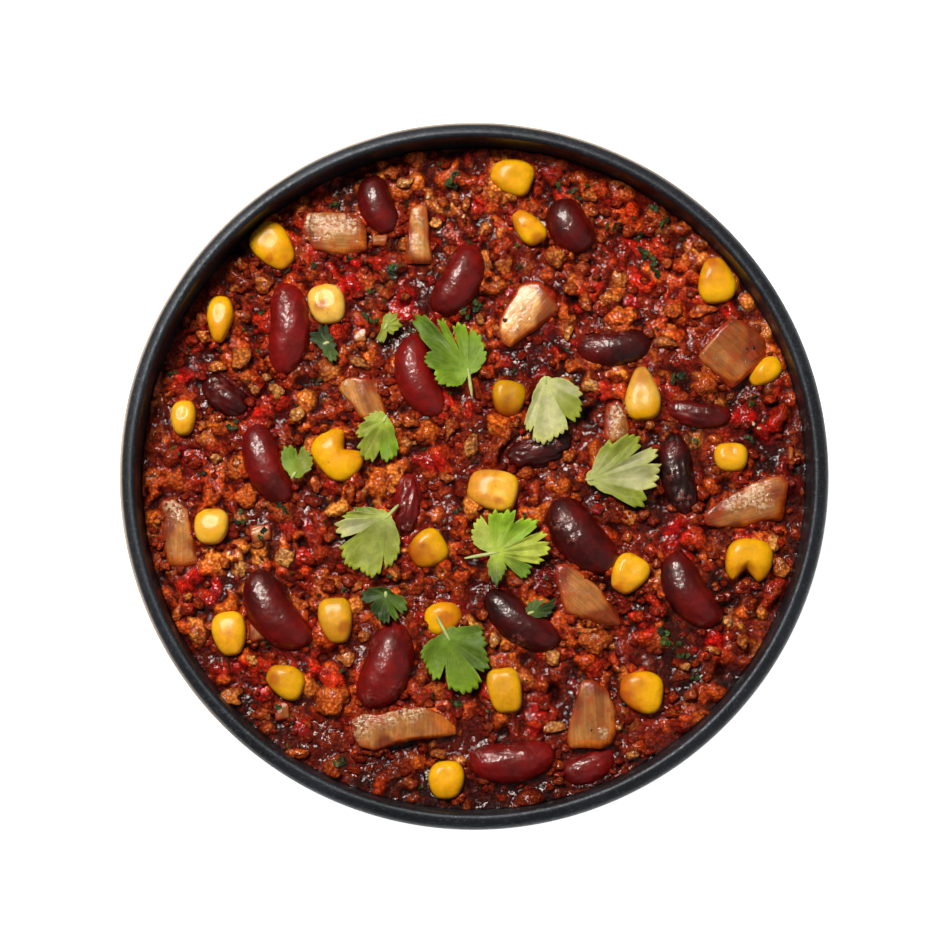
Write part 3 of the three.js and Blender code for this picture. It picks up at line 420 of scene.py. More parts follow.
def mix(a, b, share):
    """From a to b by a share for each point."""
    return a + (b - a) * np.asarray(share)[..., None]


def along_across(dx, dy, angle):
    """How far along a direction and across it an offset goes."""
    c, s = math.cos(angle), math.sin(angle)
    return c * dx + s * dy, c * dy - s * dx


# ---------------------------------------------------------------- noise
def lattice(cell, seed):
    """A repeatable number from 0 to 1 for each whole-numbered cell."""
    h = np.full(cell.shape[:-1], seed * 374761393 + 1013904223, np.uint64)
    for k, factor in enumerate((2654435761, 2246822519, 3266489917)[:cell.shape[-1]]):
        part = cell[..., k].astype(np.int64).astype(np.uint64) * np.uint64(factor)
        h = (h ^ part) & np.uint64(0xFFFFFFFF)
        h = (h * np.uint64(1274126177) + np.uint64(k)) & np.uint64(0xFFFFFFFF)
        h = h ^ (h >> np.uint64(15))
    return h.astype(float) / 0xFFFFFFFF


def noise(points, size, seed=0):
    """Smooth noise from -1 to 1 at points of 2 or 3 numbers, with features of the given size."""
    scaled = np.asarray(points, float) / size
    cell = np.floor(scaled)
    t = scaled - cell
    t = t * t * (3 - 2 * t)
    total = 0
    for corner in np.ndindex(*[2] * scaled.shape[-1]):
        step = np.array(corner[::-1])
        weight = np.prod(np.where(step, t, 1 - t), axis=-1)
        total = total + weight * lattice(cell + step, seed)
    return 2 * total - 1


def noises(points, size, seeds):
    """A vector of noise, with a seed for each of its numbers."""
    return np.stack([noise(points, size, seed) for seed in seeds], -1)


def rough(points, size, octaves=3, seed=0):
    """Noise with finer and weaker noise on it."""
    total = sum(noise(points, size / 2 ** k, seed + k) / 2 ** k for k in range(octaves))
    return total / (2 - 2 ** (1 - octaves))


def granules(points, size, seed=0):
    """Rounded bumps from 0 to 1 with sharp grooves between them."""
    return np.sqrt(np.abs(noise(points, size, seed)))


# ---------------------------------------------------------------- meshes
def make_object(name, points, faces, tint, values=None, smooth_shaded=True):
    """A mesh object in metres from points in millimetres, with a colour for each point."""
    mesh = bpy.data.meshes.new(name)
    faces = np.asarray(faces)
    mesh.vertices.add(len(points))
    mesh.vertices.foreach_set("co", (np.asarray(points, float) * MM).astype(np.float32).ravel())
    mesh.loops.add(faces.size)
    mesh.loops.foreach_set("vertex_index", faces.ravel().astype(np.int32))
    mesh.polygons.add(len(faces))
    mesh.polygons.foreach_set("loop_start", np.arange(len(faces), dtype=np.int32) * faces.shape[1])
    mesh.polygons.foreach_set("use_smooth", np.full(len(faces), smooth_shaded))
    mesh.update(calc_edges=True)
    mesh.validate()
    colours = mesh.color_attributes.new("tint", "FLOAT_COLOR", "POINT")
    colours.data.foreach_set("color", np.c_[tint, np.ones(len(tint))].astype(np.float32).ravel())
    for key, numbers in (values or {}).items():
        numbers = np.asarray(numbers, np.float32)
        kind, field = ("FLOAT", "value") if numbers.ndim == 1 else ("FLOAT_VECTOR", "vector")
        attribute = mesh.attributes.new(key, kind, "POINT")
        attribute.data.foreach_set(field, numbers.ravel())
    thing = bpy.data.objects.new(name, mesh)
    bpy.context.scene.collection.objects.link(thing)
    return thing


def dress(thing, material, slot, *nodes):
    """Gives a piece its material, its place on the body and the nodes it stands for."""
    thing.data.materials.append(material)
    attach(thing, "root")
    if nodes:
        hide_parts(*nodes)


def joined(parts):
    """(points, faces, tint) of many parts as one."""
    points, faces, tints, count = [], [], [], 0
    for p, f, c in parts:
        points.append(p)
        faces.append(np.asarray(f) + count)
        tints.append(c)
        count += len(p)
    return np.concatenate(points), np.concatenate(faces), np.concatenate(tints)


def circle(count):
    """Directions round a circle, in radians."""
    return np.arange(count) / count * 2 * math.pi


def unit(angle):
    """Flat vectors of length 1 in directions."""
    return np.stack([np.cos(angle), np.sin(angle)], -1)


def fan(hub, ring):
    """Triangles from a point to a ring of points."""
    return np.stack([np.full_like(ring, hub), ring, np.roll(ring, -1)], -1)


def band(inner, outer):
    """Triangles between two rings of points."""
    inner_next, outer_next = np.roll(inner, -1), np.roll(outer, -1)
    return np.concatenate([np.stack([inner, outer, outer_next], -1),
                           np.stack([inner, outer_next, inner_next], -1)])


def slab(steps, count):
    """Triangles of a thin slab: a hub and rings of points above, the same below, and its edge."""
    rings = 1 + np.arange(count * steps).reshape(count, steps)
    layer = np.concatenate([fan(0, rings[0]), *map(band, rings, rings[1:])])
    below = 1 + rings.size
    return np.concatenate([layer, layer[:, ::-1] + below, band(rings[-1], rings[-1] + below)])


def ball(around, along):
    """Points and triangles of a unit ball whose poles are on the X axis."""
    t, a = np.meshgrid(np.arange(1, along) / along * math.pi, circle(around), indexing="ij")
    body = np.stack([-np.cos(t), np.sin(t) * np.cos(a), np.sin(t) * np.sin(a)], -1).reshape(-1, 3)
    rings = 1 + np.arange(len(body)).reshape(-1, around)
    shell = np.concatenate([fan(0, rings[0]), *map(band, rings, rings[1:])])[:, ::-1]
    faces = np.concatenate([shell, fan(1 + len(body), rings[-1])])
    return np.concatenate([[[-1, 0, 0]], body, [[1, 0, 0]]]), faces


def icosphere(subdivisions):
    """Points and triangles of a unit ball with even triangles."""
    sphere = bmesh.new()
    bmesh.ops.create_icosphere(sphere, subdivisions=subdivisions, radius=1)
    points = np.array([v.co[:] for v in sphere.verts])
    faces = np.array([[v.index for v in f.verts] for f in sphere.faces])
    sphere.free()
    return points, faces


def turned(points, degrees):
    """Points turned about the Z axis."""
    a = math.radians(degrees)
    turn = np.array([[math.cos(a), math.sin(a), 0], [-math.sin(a), math.cos(a), 0], [0, 0, 1]])
    return points @ turn


def random_turn(generator, flat=0.5):
    """A turn about Z after a random tilt of up to flat x 90 degrees."""
    tilt = generator.uniform(-1, 1, 2) * flat * math.pi / 2
    spin = generator.uniform(0, 2 * math.pi)
    cx, sx, cy, sy, cz, sz = (f(v) for v in (tilt[0], tilt[1], spin) for f in (math.cos, math.sin))
    about_x = np.array([[1, 0, 0], [0, cx, sx], [0, -sx, cx]])
    about_y = np.array([[cy, 0, -sy], [0, 1, 0], [sy, 0, cy]])
    about_z = np.array([[cz, sz, 0], [-sz, cz, 0], [0, 0, 1]])
    return about_x @ about_y @ about_z


# ---------------------------------------------------------------- materials
class Shader:
    """A Principled material and short ways to add nodes to it."""

    def __init__(self, name, **sockets):
        self.material = bpy.data.materials.new(name)
        self.material.use_nodes = True
        self.nodes = self.material.node_tree.nodes
        self.links = self.material.node_tree.links
        self.principled = self.nodes["Principled BSDF"]
        for socket, value in sockets.items():
            self.feed(socket.replace("_", " "), value)
        self.coordinates = self.node("ShaderNodeTexCoord").outputs["Object"]

    def node(self, kind, **settings):
        made = self.nodes.new(kind)
        for key, value in settings.items():
            setattr(made, key, value)
        return made

    def put(self, target, value):
        """Links a socket, or sets its number or colour."""
        if isinstance(value, bpy.types.NodeSocket):
            self.links.new(value, target)
        elif hasattr(target.default_value, "__len__") and not hasattr(value, "__len__"):
            target.default_value = [value] * len(target.default_value)
        else:
            target.default_value = value

    def wire(self, made, output, **inputs):
        """An output of a node whose inputs are given by name."""
        for name, value in inputs.items():
            self.put(made.inputs[name.replace("_", " ")], value)
        return made.outputs[output]

    def feed(self, socket, value):
        self.put(self.principled.inputs[socket], value)

    def attribute(self, name, output="Color"):
        return self.node("ShaderNodeAttribute", attribute_name=name).outputs[output]

    def noise(self, size, detail=3.0, roughness=0.55):
        """Noise from 0 to 1 with features of about size millimetres."""
        return self.wire(self.node("ShaderNodeTexNoise"), "Fac", Scale=1 / (size * MM), Detail=detail,
                         Roughness=roughness, Vector=self.coordinates)

    def cells(self, size, bent):
        """Distance from the middles of cells of about size millimetres, bent by a value."""
        shift = self.node("ShaderNodeVectorMath", operation="SCALE")
        shift.inputs[0].default_value = (MM, MM, MM)
        moved = self.node("ShaderNodeVectorMath", operation="ADD")
        self.links.new(self.coordinates, moved.inputs[0])
        self.links.new(self.wire(shift, "Vector", Scale=bent), moved.inputs[1])
        return self.wire(self.node("ShaderNodeTexVoronoi"), "Distance", Scale=1 / (size * MM),
                         Vector=moved.outputs["Vector"])

    def spread(self, value, low, high, to_low=0.0, to_high=1.0):
        """Carries a value from one range to another, with soft ends."""
        made = self.node("ShaderNodeMapRange", interpolation_type="SMOOTHSTEP")
        return self.wire(made, "Result", Value=value, From_Min=low, From_Max=high,
                         To_Min=to_low, To_Max=to_high)

    def math(self, operation, a, b):
        made = self.node("ShaderNodeMath", operation=operation)
        self.put(made.inputs[0], a)
        self.put(made.inputs[1], b)
        return made.outputs[0]

    def add(self, a, b):
        return self.math("ADD", a, b)

    def times(self, a, b):
        return self.math("MULTIPLY", a, b)

    def blend(self, a, b, share, mode="MIX"):
        made = self.node("ShaderNodeMix", data_type="RGBA", blend_type=mode)
        return self.wire(made, "Result", Factor=share, A=a, B=b)

    def mottled(self, colour, value, low, high):
        """A colour made darker and lighter by a value, from low to high."""
        return self.blend(colour, self.spread(value, 0.3, 0.7, low, high), 1.0, "MULTIPLY")

    def bump(self, height, distance, **normal):
        """A bump of so many millimetres."""
        made = self.node("ShaderNodeBump")
        return self.wire(made, "Normal", Height=height, Distance=distance * MM, **normal)


def rgba(colour):
    """A screen colour for a shader's socket."""
    return (*linear(colour), 1.0)


def grainy(name, wet_depth):
    """Grains of the mince, orange on top and deep red between, under a smoother wet film. The tops
    are painted paler and the lows darker, painted light and shade over these colours.

    Where the surface is wet they are only wet_depth as deep.
    """
    s = Shader(name, Roughness=0.6, Specular_IOR_Level=0.08, Coat_Roughness=0.04, Coat_IOR=1.42)
    depth = s.spread(s.attribute("wet", "Fac"), 0.0, 1.0, 1.0, wet_depth)
    fine = s.noise(0.8, detail=5.0, roughness=0.72)
    granule = s.math("SUBTRACT", 1.0, s.cells(0.8, bent=fine))
    grain = s.add(s.times(fine, 0.6), s.times(granule, 0.4))
    # Painted light and shade: the grain's tops paler, its lows darker.
    shade = s.blend(GRAIN_SHADED_LOW, GRAIN_LIT_TOP, s.spread(grain, 0.38, 0.68))
    s.feed("Base Color", s.blend(s.attribute("tint"), shade, 1.0, "MULTIPLY"))
    s.feed("Normal", s.bump(s.times(grain, depth), 0.9))
    ripple = s.add(s.noise(1.4, detail=1.0), s.times(grain, 0.28))
    s.feed("Coat Normal", s.bump(s.times(ripple, depth), 0.5, Normal=s.attribute("film", "Vector")))
    # The wet film's reflection is weakened in pits, a painted shade on it.
    s.feed("Coat Weight", s.spread(s.attribute("pit", "Fac"), 0.3, 0.8, 0.75, 0.1))
    return s.material


def add_froth(s, colour, film, depth):
    """A pale broken film where the attribute marks froth, partly a painted highlight, and the bump
    that goes with it.
    """
    froth_and_highlight = s.attribute("froth_and_highlight", "Fac")
    grain = s.noise(0.9, detail=2.0, roughness=0.6)
    share = s.times(s.spread(grain, 0.46, 0.56), froth_and_highlight)
    # Painted highlight, in part: the froth's pale film.
    s.feed("Base Color", s.blend(colour, rgba(film), s.times(share, 0.75)))
    return s.times(s.times(grain, froth_and_highlight), depth)


def bean_material():
    """Kidney bean skin: dark, smooth and glossy, under a thin broken film of sauce whose pale
    patches are partly painted highlights.
    """
    s = Shader("bean_skin", Roughness=0.42, Specular_IOR_Level=0.36, Specular_Tint=(1.0, 0.78, 0.74, 1.0),
               Coat_Weight=0.55, Coat_Roughness=0.16, Coat_IOR=1.5)
    colour = s.mottled(s.attribute("tint"), s.noise(2.6, detail=4.0, roughness=0.6), 0.75, 1.25)
    froth_and_highlight = add_froth(s, colour, BEAN_FILM_HIGHLIGHT, 1.2)
    relief = s.add(s.times(s.noise(3.5, detail=2.0), 1.4), froth_and_highlight)
    s.feed("Normal", s.bump(relief, 0.25))
    ripple = s.add(relief, s.times(s.noise(1.6, detail=2.0), 0.8))
    s.feed("Coat Normal", s.bump(ripple, 0.35))
    return s.material


def corn_material():
    """Sweetcorn: a taut skin over bright flesh that lets light in."""
    s = Shader("corn_skin", Roughness=0.5, Specular_IOR_Level=0.15, Coat_Weight=0.24, Coat_Roughness=0.15,
               Coat_IOR=1.5, Subsurface_Weight=0.35, Subsurface_Radius=(1.0, 0.55, 0.12),
               Subsurface_Scale=0.0016)
    stains = s.spread(s.noise(1.7, detail=3.0, roughness=0.6), 0.62, 0.74)
    colour = s.mottled(s.attribute("tint"), s.noise(2.2), 0.88, 1.1)
    s.feed("Base Color", s.blend(colour, rgba(CORN_AMBER), s.times(stains, 0.5)))
    s.feed("Normal", s.bump(s.noise(1.8), 0.14))
    return s.material


def onion_fibres(s):
    """Fibres from 0 to 1 that run along the onion's layers."""
    place = s.wire(s.node("ShaderNodeCombineXYZ"), "Vector", X=s.attribute("across", "Fac"),
                   Y=s.times(s.attribute("along", "Fac"), 0.07))
    fibres = s.wire(s.node("ShaderNodeTexNoise"), "Fac", Scale=1.7, Detail=3.0, Vector=place)
    return s.spread(fibres, 0.38, 0.62)


def onion_material():
    """Cooked onion: see-through layers with fibres, wet and stained by the sauce, with pale froth
    that is partly painted highlight.
    """
    s = Shader("onion_flesh", Roughness=0.4, Specular_IOR_Level=0.15, Coat_Weight=0.9, Coat_Roughness=0.1,
               Coat_IOR=1.5, Subsurface_Weight=0.25, Subsurface_Radius=(1.0, 0.7, 0.4),
               Subsurface_Scale=0.0015)
    strand = onion_fibres(s)
    colour = s.blend(s.attribute("tint"), s.blend(STRAND_DARK, STRAND_LIGHT, strand), 1.0, "MULTIPLY")
    mottle = s.noise(1.6, detail=5.0, roughness=0.65)
    colour = s.mottled(colour, mottle, 0.8, 1.16)
    film = s.spread(s.noise(3.2, detail=4.0, roughness=0.6), 0.52, 0.66)
    colour = s.blend(colour, rgba(ONION_FILM), s.times(film, 0.65))
    specks = s.spread(s.noise(0.9, detail=1.0), 0.68, 0.74)
    colour = s.blend(colour, rgba(ONION_SPECK), s.times(specks, 0.7))
    froth_and_highlight = add_froth(s, colour, ONION_FROTH_HIGHLIGHT, 1.3)
    relief = s.add(s.add(s.times(strand, 0.1), froth_and_highlight), s.times(mottle, 0.45))
    normal = s.bump(relief, 0.3)
    s.feed("Normal", normal)
    s.feed("Coat Normal", normal)
    return s.material


def leaf_material():
    """Coriander: thin, softly shining, with light coming through."""
    s = Shader("coriander", Roughness=0.52, Specular_IOR_Level=0.32, Subsurface_Weight=0.25,
               Subsurface_Radius=(0.6, 1.0, 0.2), Subsurface_Scale=0.0008)
    s.feed("Base Color", s.mottled(s.attribute("tint"), s.noise(1.4), 0.88, 1.1))
    s.feed("Normal", s.bump(s.noise(0.8), 0.12))
    return s.material


def scrap_material(name, patch, patch_detail, bump_size, **sockets):
    """Small scraps, in patches of about patch millimetres."""
    s = Shader(name, Coat_Roughness=0.15, **sockets)
    s.feed("Base Color", s.mottled(s.attribute("tint"), s.noise(patch, detail=patch_detail), 0.7, 1.3))
    s.feed("Normal", s.bump(s.noise(bump_size, detail=2.0), 0.1))
    return s.material


def bowl_material():
    """Black stoneware with a satin, faintly speckled glaze; tan where the clay is bare, and a tan
    line on the lip's side towards the key light that is partly a painted rim light.
    """
    s = Shader("black_stoneware", Specular_IOR_Level=0.6, Specular_Tint=(0.84, 0.91, 1.0, 1.0))
    speck = s.spread(s.noise(0.5, detail=2.0, roughness=0.7), 0.58, 0.7)
    cloud = s.spread(s.noise(14.0, detail=4.0), 0.35, 0.65)
    glaze = s.blend(rgba(GLAZE_DARK), rgba(GLAZE_LIGHT), cloud)
    glaze = s.blend(glaze, rgba(GLAZE_SPECK), s.times(speck, 0.5))
    s.feed("Base Color", s.blend(glaze, s.attribute("tint"), s.attribute("clay_and_rim_lit", "Fac")))
    s.feed("Roughness", s.spread(s.noise(1.0, detail=4.0, roughness=0.7), 0.3, 0.7, 0.36, 0.54))
    relief = s.add(s.noise(0.5, detail=3.0, roughness=0.6), s.times(s.noise(5.0, detail=2.0), 3.0))
    s.feed("Normal", s.bump(relief, 0.06))
    return s.material


def floor_material():
    """A pale floor, evenly lit."""
    s = Shader("pale_floor", Roughness=0.9, Emission_Color=(1, 1, 1, 1), Emission_Strength=0.96)
    shade = s.noise(60.0, detail=2.0)
    s.feed("Base Color", s.blend(rgba((250, 250, 250)), rgba((255, 255, 255)), shade))
    return s.material


# ---------------------------------------------------------------- bowl
def wall(radius, low, steps):
    """A quarter ellipse of the wall, from the foot up to the lip."""
    a = np.linspace(0, math.pi / 2, steps)
    lip_height = BOWL_HEIGHT - LIP / 2
    across = CURVE_CENTRE_RADIUS + (radius - CURVE_CENTRE_RADIUS) * np.sin(a)
    return np.stack([across, lip_height - (lip_height - low) * np.cos(a)], -1)


def bowl_profile():
    """Radius and height from under the foot, up the outside, over the lip and down the inside."""
    lip = np.stack([RIM_RADIUS - LIP_CURVE[:, 0], BOWL_HEIGHT - LIP_CURVE[:, 1]], -1)
    inner, recess = FOOT_RADIUS - FOOT_WIDTH, FOOT_RECESS
    foot = [
        (inner * 0.5, recess), (inner - 1, recess), (inner, recess - 0.4), (inner + 0.5, 0.5),
        (inner + 1.2, 0.02), (inner + 2.2, 0), (FOOT_RADIUS - 1.5, 0), (FOOT_RADIUS - 0.6, 0.1),
        (FOOT_RADIUS - 0.1, 0.6), (FOOT_RADIUS - 0.02, FOOT_HEIGHT - 1.4),
        (FOOT_RADIUS + 0.4, FOOT_HEIGHT - 0.4),
    ]
    outside = wall(RIM_RADIUS, FOOT_HEIGHT, 28)[1:-1]
    inside = wall(RIM_RADIUS - LIP, FLOOR, 22)[::-1][1:]
    return np.concatenate([foot, outside, lip, inside, [(FLOOR_RADIUS, FLOOR)]])


def bare_clay(points):
    """Where tan shows: bare clay under the foot, and a fine line round the outside of the lip on the
    side towards the key light, partly worn clay and partly a painted rim light.
    """
    r, z = np.hypot(points[:, 0], points[:, 1]), points[:, 2]
    angle = np.degrees(np.arctan2(points[:, 1], points[:, 0])) % 360
    foot_clay = (z < 0.8) & (r < FOOT_RADIUS) & (r > FOOT_RADIUS - FOOT_WIDTH)
    # The line is only on the side towards the key light: partly painted rim light.
    side = smooth(angle, 35, 70) * (1 - smooth(angle, 200, 240))
    line = smooth(r, RIM_RADIUS - 0.9, RIM_RADIUS - 0.35) * smooth(z, BOWL_HEIGHT - 2.6, BOWL_HEIGHT - 2.2)
    return np.maximum(foot_clay, line * side * (0.75 + 0.25 * noise(points[:, :2], 6.0, 3)))


def make_bowl():
    """The bowl: its profile turned round the Z axis."""
    profile = bowl_profile()
    points = (profile[:, None, :1] * unit(circle(BOWL_SIDES))).reshape(-1, 2)
    points = np.c_[points, np.repeat(profile[:, 1], BOWL_SIDES)]
    rings = np.arange(len(points)).reshape(-1, BOWL_SIDES)
    shell = np.concatenate([fan(len(points), rings[0]), *map(band, rings, rings[1:])])[:, ::-1]
    faces = np.concatenate([shell, fan(len(points) + 1, rings[-1])])
    points = np.concatenate([points, [[0, 0, FOOT_RECESS], [0, 0, FLOOR]]])
    # Tan of bare clay, also used for the painted rim light on the lip.
    tint = np.tile(linear(CLAY_AND_RIM_LIGHT_TAN), (len(points), 1))
    bowl = make_object("stoneware_bowl", points, faces, tint, {"clay_and_rim_lit": bare_clay(points)})
    dress(bowl, bowl_material(), "bowl", "bowl")


# ---------------------------------------------------------------- places of the larger pieces
def node_points(name):
    """The points of a node in millimetres."""
    return np.array([v.co[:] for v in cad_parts[name].data.vertices]) / MM


def node_of(name):
    """The node that a bean, kernel or onion piece stands for, if it has one."""
    node = name.replace("kidney_", "").replace("kernel", "corn").replace("onion_piece", "onion")
    return [node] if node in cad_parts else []


def piece_row(name):
    """The row of a bean or kernel."""
    return BEANS.get(name) or KERNELS[name]


def reach_of(corners, steps):
    """Directions and reaches of an outline with softened corners, from its middle."""
    corners = np.array(corners, float)
    middle = corners.mean(0)
    ends = np.roll(corners, -1, axis=0)
    t = np.linspace(0, 1, 24, endpoint=False)
    edge = (corners[:, None] + (ends - corners)[:, None] * t[:, None]).reshape(-1, 2) - middle
    kernel = np.array([1, 2, 3, 4, 5, 4, 3, 2, 1]) / 25
    wide = np.concatenate([edge[-4:], edge, edge[:4]])
    edge = np.stack([np.convolve(wide[:, k], kernel, "valid") for k in (0, 1)], -1)
    angle = np.arctan2(edge[:, 1], edge[:, 0])
    order = np.argsort(angle)
    angle, reach = angle[order], np.hypot(*edge[order].T)
    at = np.arange(steps) / steps * 2 * math.pi - math.pi
    return middle, at, np.interp(at, angle, reach, period=2 * math.pi)


OUTLINES = {name: reach_of(row[-1], 96) for name, row in ONIONS.items()}


def off_piece(name, x, y):
    """How far in millimetres a place is from a piece's outline, less than 0 inside it."""
    if name in OUTLINES:
        middle, at, reach = OUTLINES[name]
        dx, dy = x - middle[0], y - middle[1]
        return np.hypot(dx, dy) - np.interp(np.arctan2(dy, dx), at, reach, period=2 * math.pi)
    x0, y0, heading, length, width = piece_row(name)[:5]
    along, across = along_across(x - x0, y - y0, math.radians(heading))
    power = 2.0 if name in BEANS else 2.6
    share = (np.abs(along / length * 2) ** power + np.abs(across / width * 2) ** power) ** (1 / power)
    return (share - 1) * width / 2


def outline_of(name, count, out, generator):
    """Places round a piece, a little outside its outline."""
    turn = generator.uniform(0, 2 * math.pi, count)
    far = generator.uniform(*out, count)
    if name in OUTLINES:
        middle, at, reach = OUTLINES[name]
        reach = np.interp(turn, at, reach, period=2 * math.pi) + far
        return middle[0] + reach * np.cos(turn), middle[1] + reach * np.sin(turn)
    x, y, heading, length, width = piece_row(name)[:5]
    along, across = (length / 2 + far) * np.cos(turn), (width / 2 + far) * np.sin(turn)
    a = math.radians(heading)
    return x + along * math.cos(a) - across * math.sin(a), y + along * math.sin(a) + across * math.cos(a)


def size_of(name):
    """A piece's middle, half its greatest length, and the height of its middle."""
    if name in OUTLINES:
        middle, _, reach = OUTLINES[name]
        return middle, reach.max(), ONION_LEVEL + ONIONS[name][1]
    row = piece_row(name)
    return np.array(row[:2]), row[3] / 2, SAUCE_LEVEL + row[6]


PIECES = [*BEANS, *KERNELS, *ONIONS]


def spots(points, places, seed):
    """From 0 to 1, how near points are to places given as x, y, radius, with ragged edges."""
    ragged = 0.55 * rough(points, 1.6, 3, seed)
    nearest = np.full(len(points), 9.0)
    for x, y, radius in places:
        nearest = np.minimum(nearest, np.hypot(points[:, 0] - x, points[:, 1] - y) / radius)
    return 1 - smooth(nearest + ragged, 0.45, 1.2)


# ---------------------------------------------------------------- the sauce's top as a height field
AXIS = np.arange(-FOOD_RADIUS - 1, FOOD_RADIUS + 1 + RASTER, RASTER)
GRID_X, GRID_Y = np.meshgrid(AXIS, AXIS, indexing="ij")
GRID = np.stack([GRID_X, GRID_Y], -1)


def read(field, x, y):
    """A field's value at places, between its grid points."""
    i, j = (np.clip((np.asarray(c) - AXIS[0]) / RASTER, 0, len(AXIS) - 1.001) for c in (x, y))
    i0, j0 = i.astype(int), j.astype(int)
    u, v = i - i0, j - j0
    if field.ndim == 3:
        u, v = u[..., None], v[..., None]
    low = field[i0, j0] * (1 - u) + field[i0 + 1, j0] * u
    high = field[i0, j0 + 1] * (1 - u) + field[i0 + 1, j0 + 1] * u
    return low * (1 - v) + high * v


def window(x, y, reach):
    """The part of the grid within reach of a place."""
    low = [max(int((c - reach - AXIS[0]) / RASTER), 0) for c in (x, y)]
    high = [min(int((c + reach - AXIS[0]) / RASTER) + 2, len(AXIS)) for c in (x, y)]
    return slice(low[0], high[0]), slice(low[1], high[1])


def pick_colours(count, generator):
    """Colours of mince, each a little different."""
    weights = np.array([w for _, w in MINCE], float)
    chosen = generator.choice(len(MINCE), count, p=weights / weights.sum())
    colours = np.array([linear(c) for c, _ in MINCE])[chosen]
    return colours * generator.uniform(0.75, 1.25, (count, 1))


def blurred(field, cells):
    """A field's mean over squares of so many cells to each side, taken twice."""
    for axis in (0, 1, 0, 1):
        moved = np.moveaxis(field, axis, 0)
        padded = np.concatenate([moved[:1].repeat(cells + 1, 0), moved, moved[-1:].repeat(cells, 0)])
        total = np.cumsum(padded, axis=0)
        field = np.moveaxis((total[2 * cells + 1:] - total[:-2 * cells - 1]) / (2 * cells + 1), 0, axis)
    return field


def base_height():
    """Slow waves, the dome and the hollows."""
    share = np.hypot(GRID_X, GRID_Y) / FOOD_RADIUS
    height = SAUCE_LEVEL + DOME * (1 - share ** 2) + 0.8 * rough(GRID, 15.0, 2, 5)
    height += 0.8 * smooth(share, 0.86, 0.97)
    for x, y, radius, depth in HOLLOWS:
        height -= depth * smooth(1 - np.hypot(GRID_X - x, GRID_Y - y) / radius, 0, 1)
    return height


def jittered(spacing, generator):
    """Places about so far apart over the food."""
    ticks = np.arange(-FOOD_RADIUS, FOOD_RADIUS, spacing)
    x, y = (c.ravel() for c in np.meshgrid(ticks, ticks))
    x, y = (c + generator.uniform(-0.55, 0.55, len(c)) * spacing for c in (x, y))
    inside = np.hypot(x, y) < FOOD_RADIUS + 0.5
    return x[inside], y[inside]


def paint(height, tint, wet, grains, colours, ragged):
    """Raises dry domes over the field, each in its own colour, wherever they stand above it."""
    for (x, y, long, wide, turn, top), colour in zip(grains, colours):
        part = window(x, y, long * 1.3 + 0.6)
        along, across = along_across(ragged[part][..., 0] - x, ragged[part][..., 1] - y, turn)
        away = (along / long) ** 2 + (across / wide) ** 2
        dome = top - wide * 0.6 * away
        wins = (dome > height[part]) & (away < 1)
        height[part][wins] = dome[wins]
        tint[part][wins] = colour
        wet[part][wins] = 0


def climb_pieces(height):
    """Lifts the sauce a little where it climbs the pieces, and keeps it below their tops."""
    for name in PIECES:
        middle, reach, level = size_of(name)
        part = window(*middle, reach + 3)
        off = off_piece(name, GRID_X[part], GRID_Y[part])
        climb = 0.5 * np.exp(-(off / 0.9) ** 2)
        top = level + (0.4 if name in OUTLINES else 0.9)
        height[part] = np.where(off < 1.0, np.minimum(height[part] + climb, top), height[part])
    return height


def leaf_outline(outline):
    """Directions and reaches round a leaf, with a dip between teeth, and two marks for each.

    The marks are 1 on a tooth's tip, and the number of the lobe.
    """
    start = next((k for k, (_, reach) in enumerate(outline) if reach < 0), 0)
    knots = outline[start:] + [(a + 360, r) for a, r in outline[:start + 1]]
    angle, reach, tip, lobe, count = [], [], [], [], 0
    for (a0, r0), (a1, r1) in zip(knots, knots[1:]):
        arc = math.radians(a1 - a0) * (abs(r0) + abs(r1)) / 2
        toothed = r0 > 0 and r1 > 0
        teeth = max(1, round(arc / 1.5))
        steps = 6 * teeth if toothed else max(2, math.ceil(arc / 0.7))
        t = np.arange(steps) / steps
        dip = 0.55 * arc / teeth * (1 - np.abs(2 * (t * teeth % 1) - 1)) ** 2 if toothed else 0
        count += r0 < 0 < r1
        angle.append(a0 + (a1 - a0) * t)
        reach.append(abs(r0) + (abs(r1) - abs(r0)) * t - dip)
        tip.append((t == 0) * (r0 > 0))
        lobe.append(np.full(steps, count - 1))
    return (np.concatenate(part) for part in (angle, reach, tip, lobe))


def leaf_surface(name):
    """A smooth height over a place, from the leaf's solid or from the sauce below it."""
    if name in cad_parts:
        points = node_points(name)
        def height(x, y):
            away = (x[..., None] - points[:, 0]) ** 2 + (y[..., None] - points[:, 1]) ** 2
            weight = 1 / (away + 2.0) ** 2
            return (weight * points[:, 2]).sum(-1) / weight.sum(-1)
        return height
    return lambda x, y: read(BASE, x, y) + 1.6


def leaf_covers(name, x, y, margin):
    """True where a leaf covers a place or is within a margin of it."""
    hub_x, hub_y, _, _, outline = LEAVES[name]
    angle, reach, _, _ = leaf_outline(outline)
    away = np.degrees(np.arctan2(y - hub_y, x - hub_x)) - angle[0]
    return np.hypot(x - hub_x, y - hub_y) < np.interp(away % 360, angle - angle[0], reach) + margin


def under_leaves(height):
    """Keeps the sauce below the leaves that have solids of their own."""
    for name in [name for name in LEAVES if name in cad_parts]:
        x, y, _, _, outline = LEAVES[name]
        part = window(x, y, max(abs(reach) for _, reach in outline) + 1)
        at_x, at_y = GRID_X[part], GRID_Y[part]
        below = np.minimum(height[part], leaf_surface(name)(at_x, at_y) - 0.5)
        height[part] = np.where(leaf_covers(name, at_x, at_y, 0.4), below, height[part])
    return height


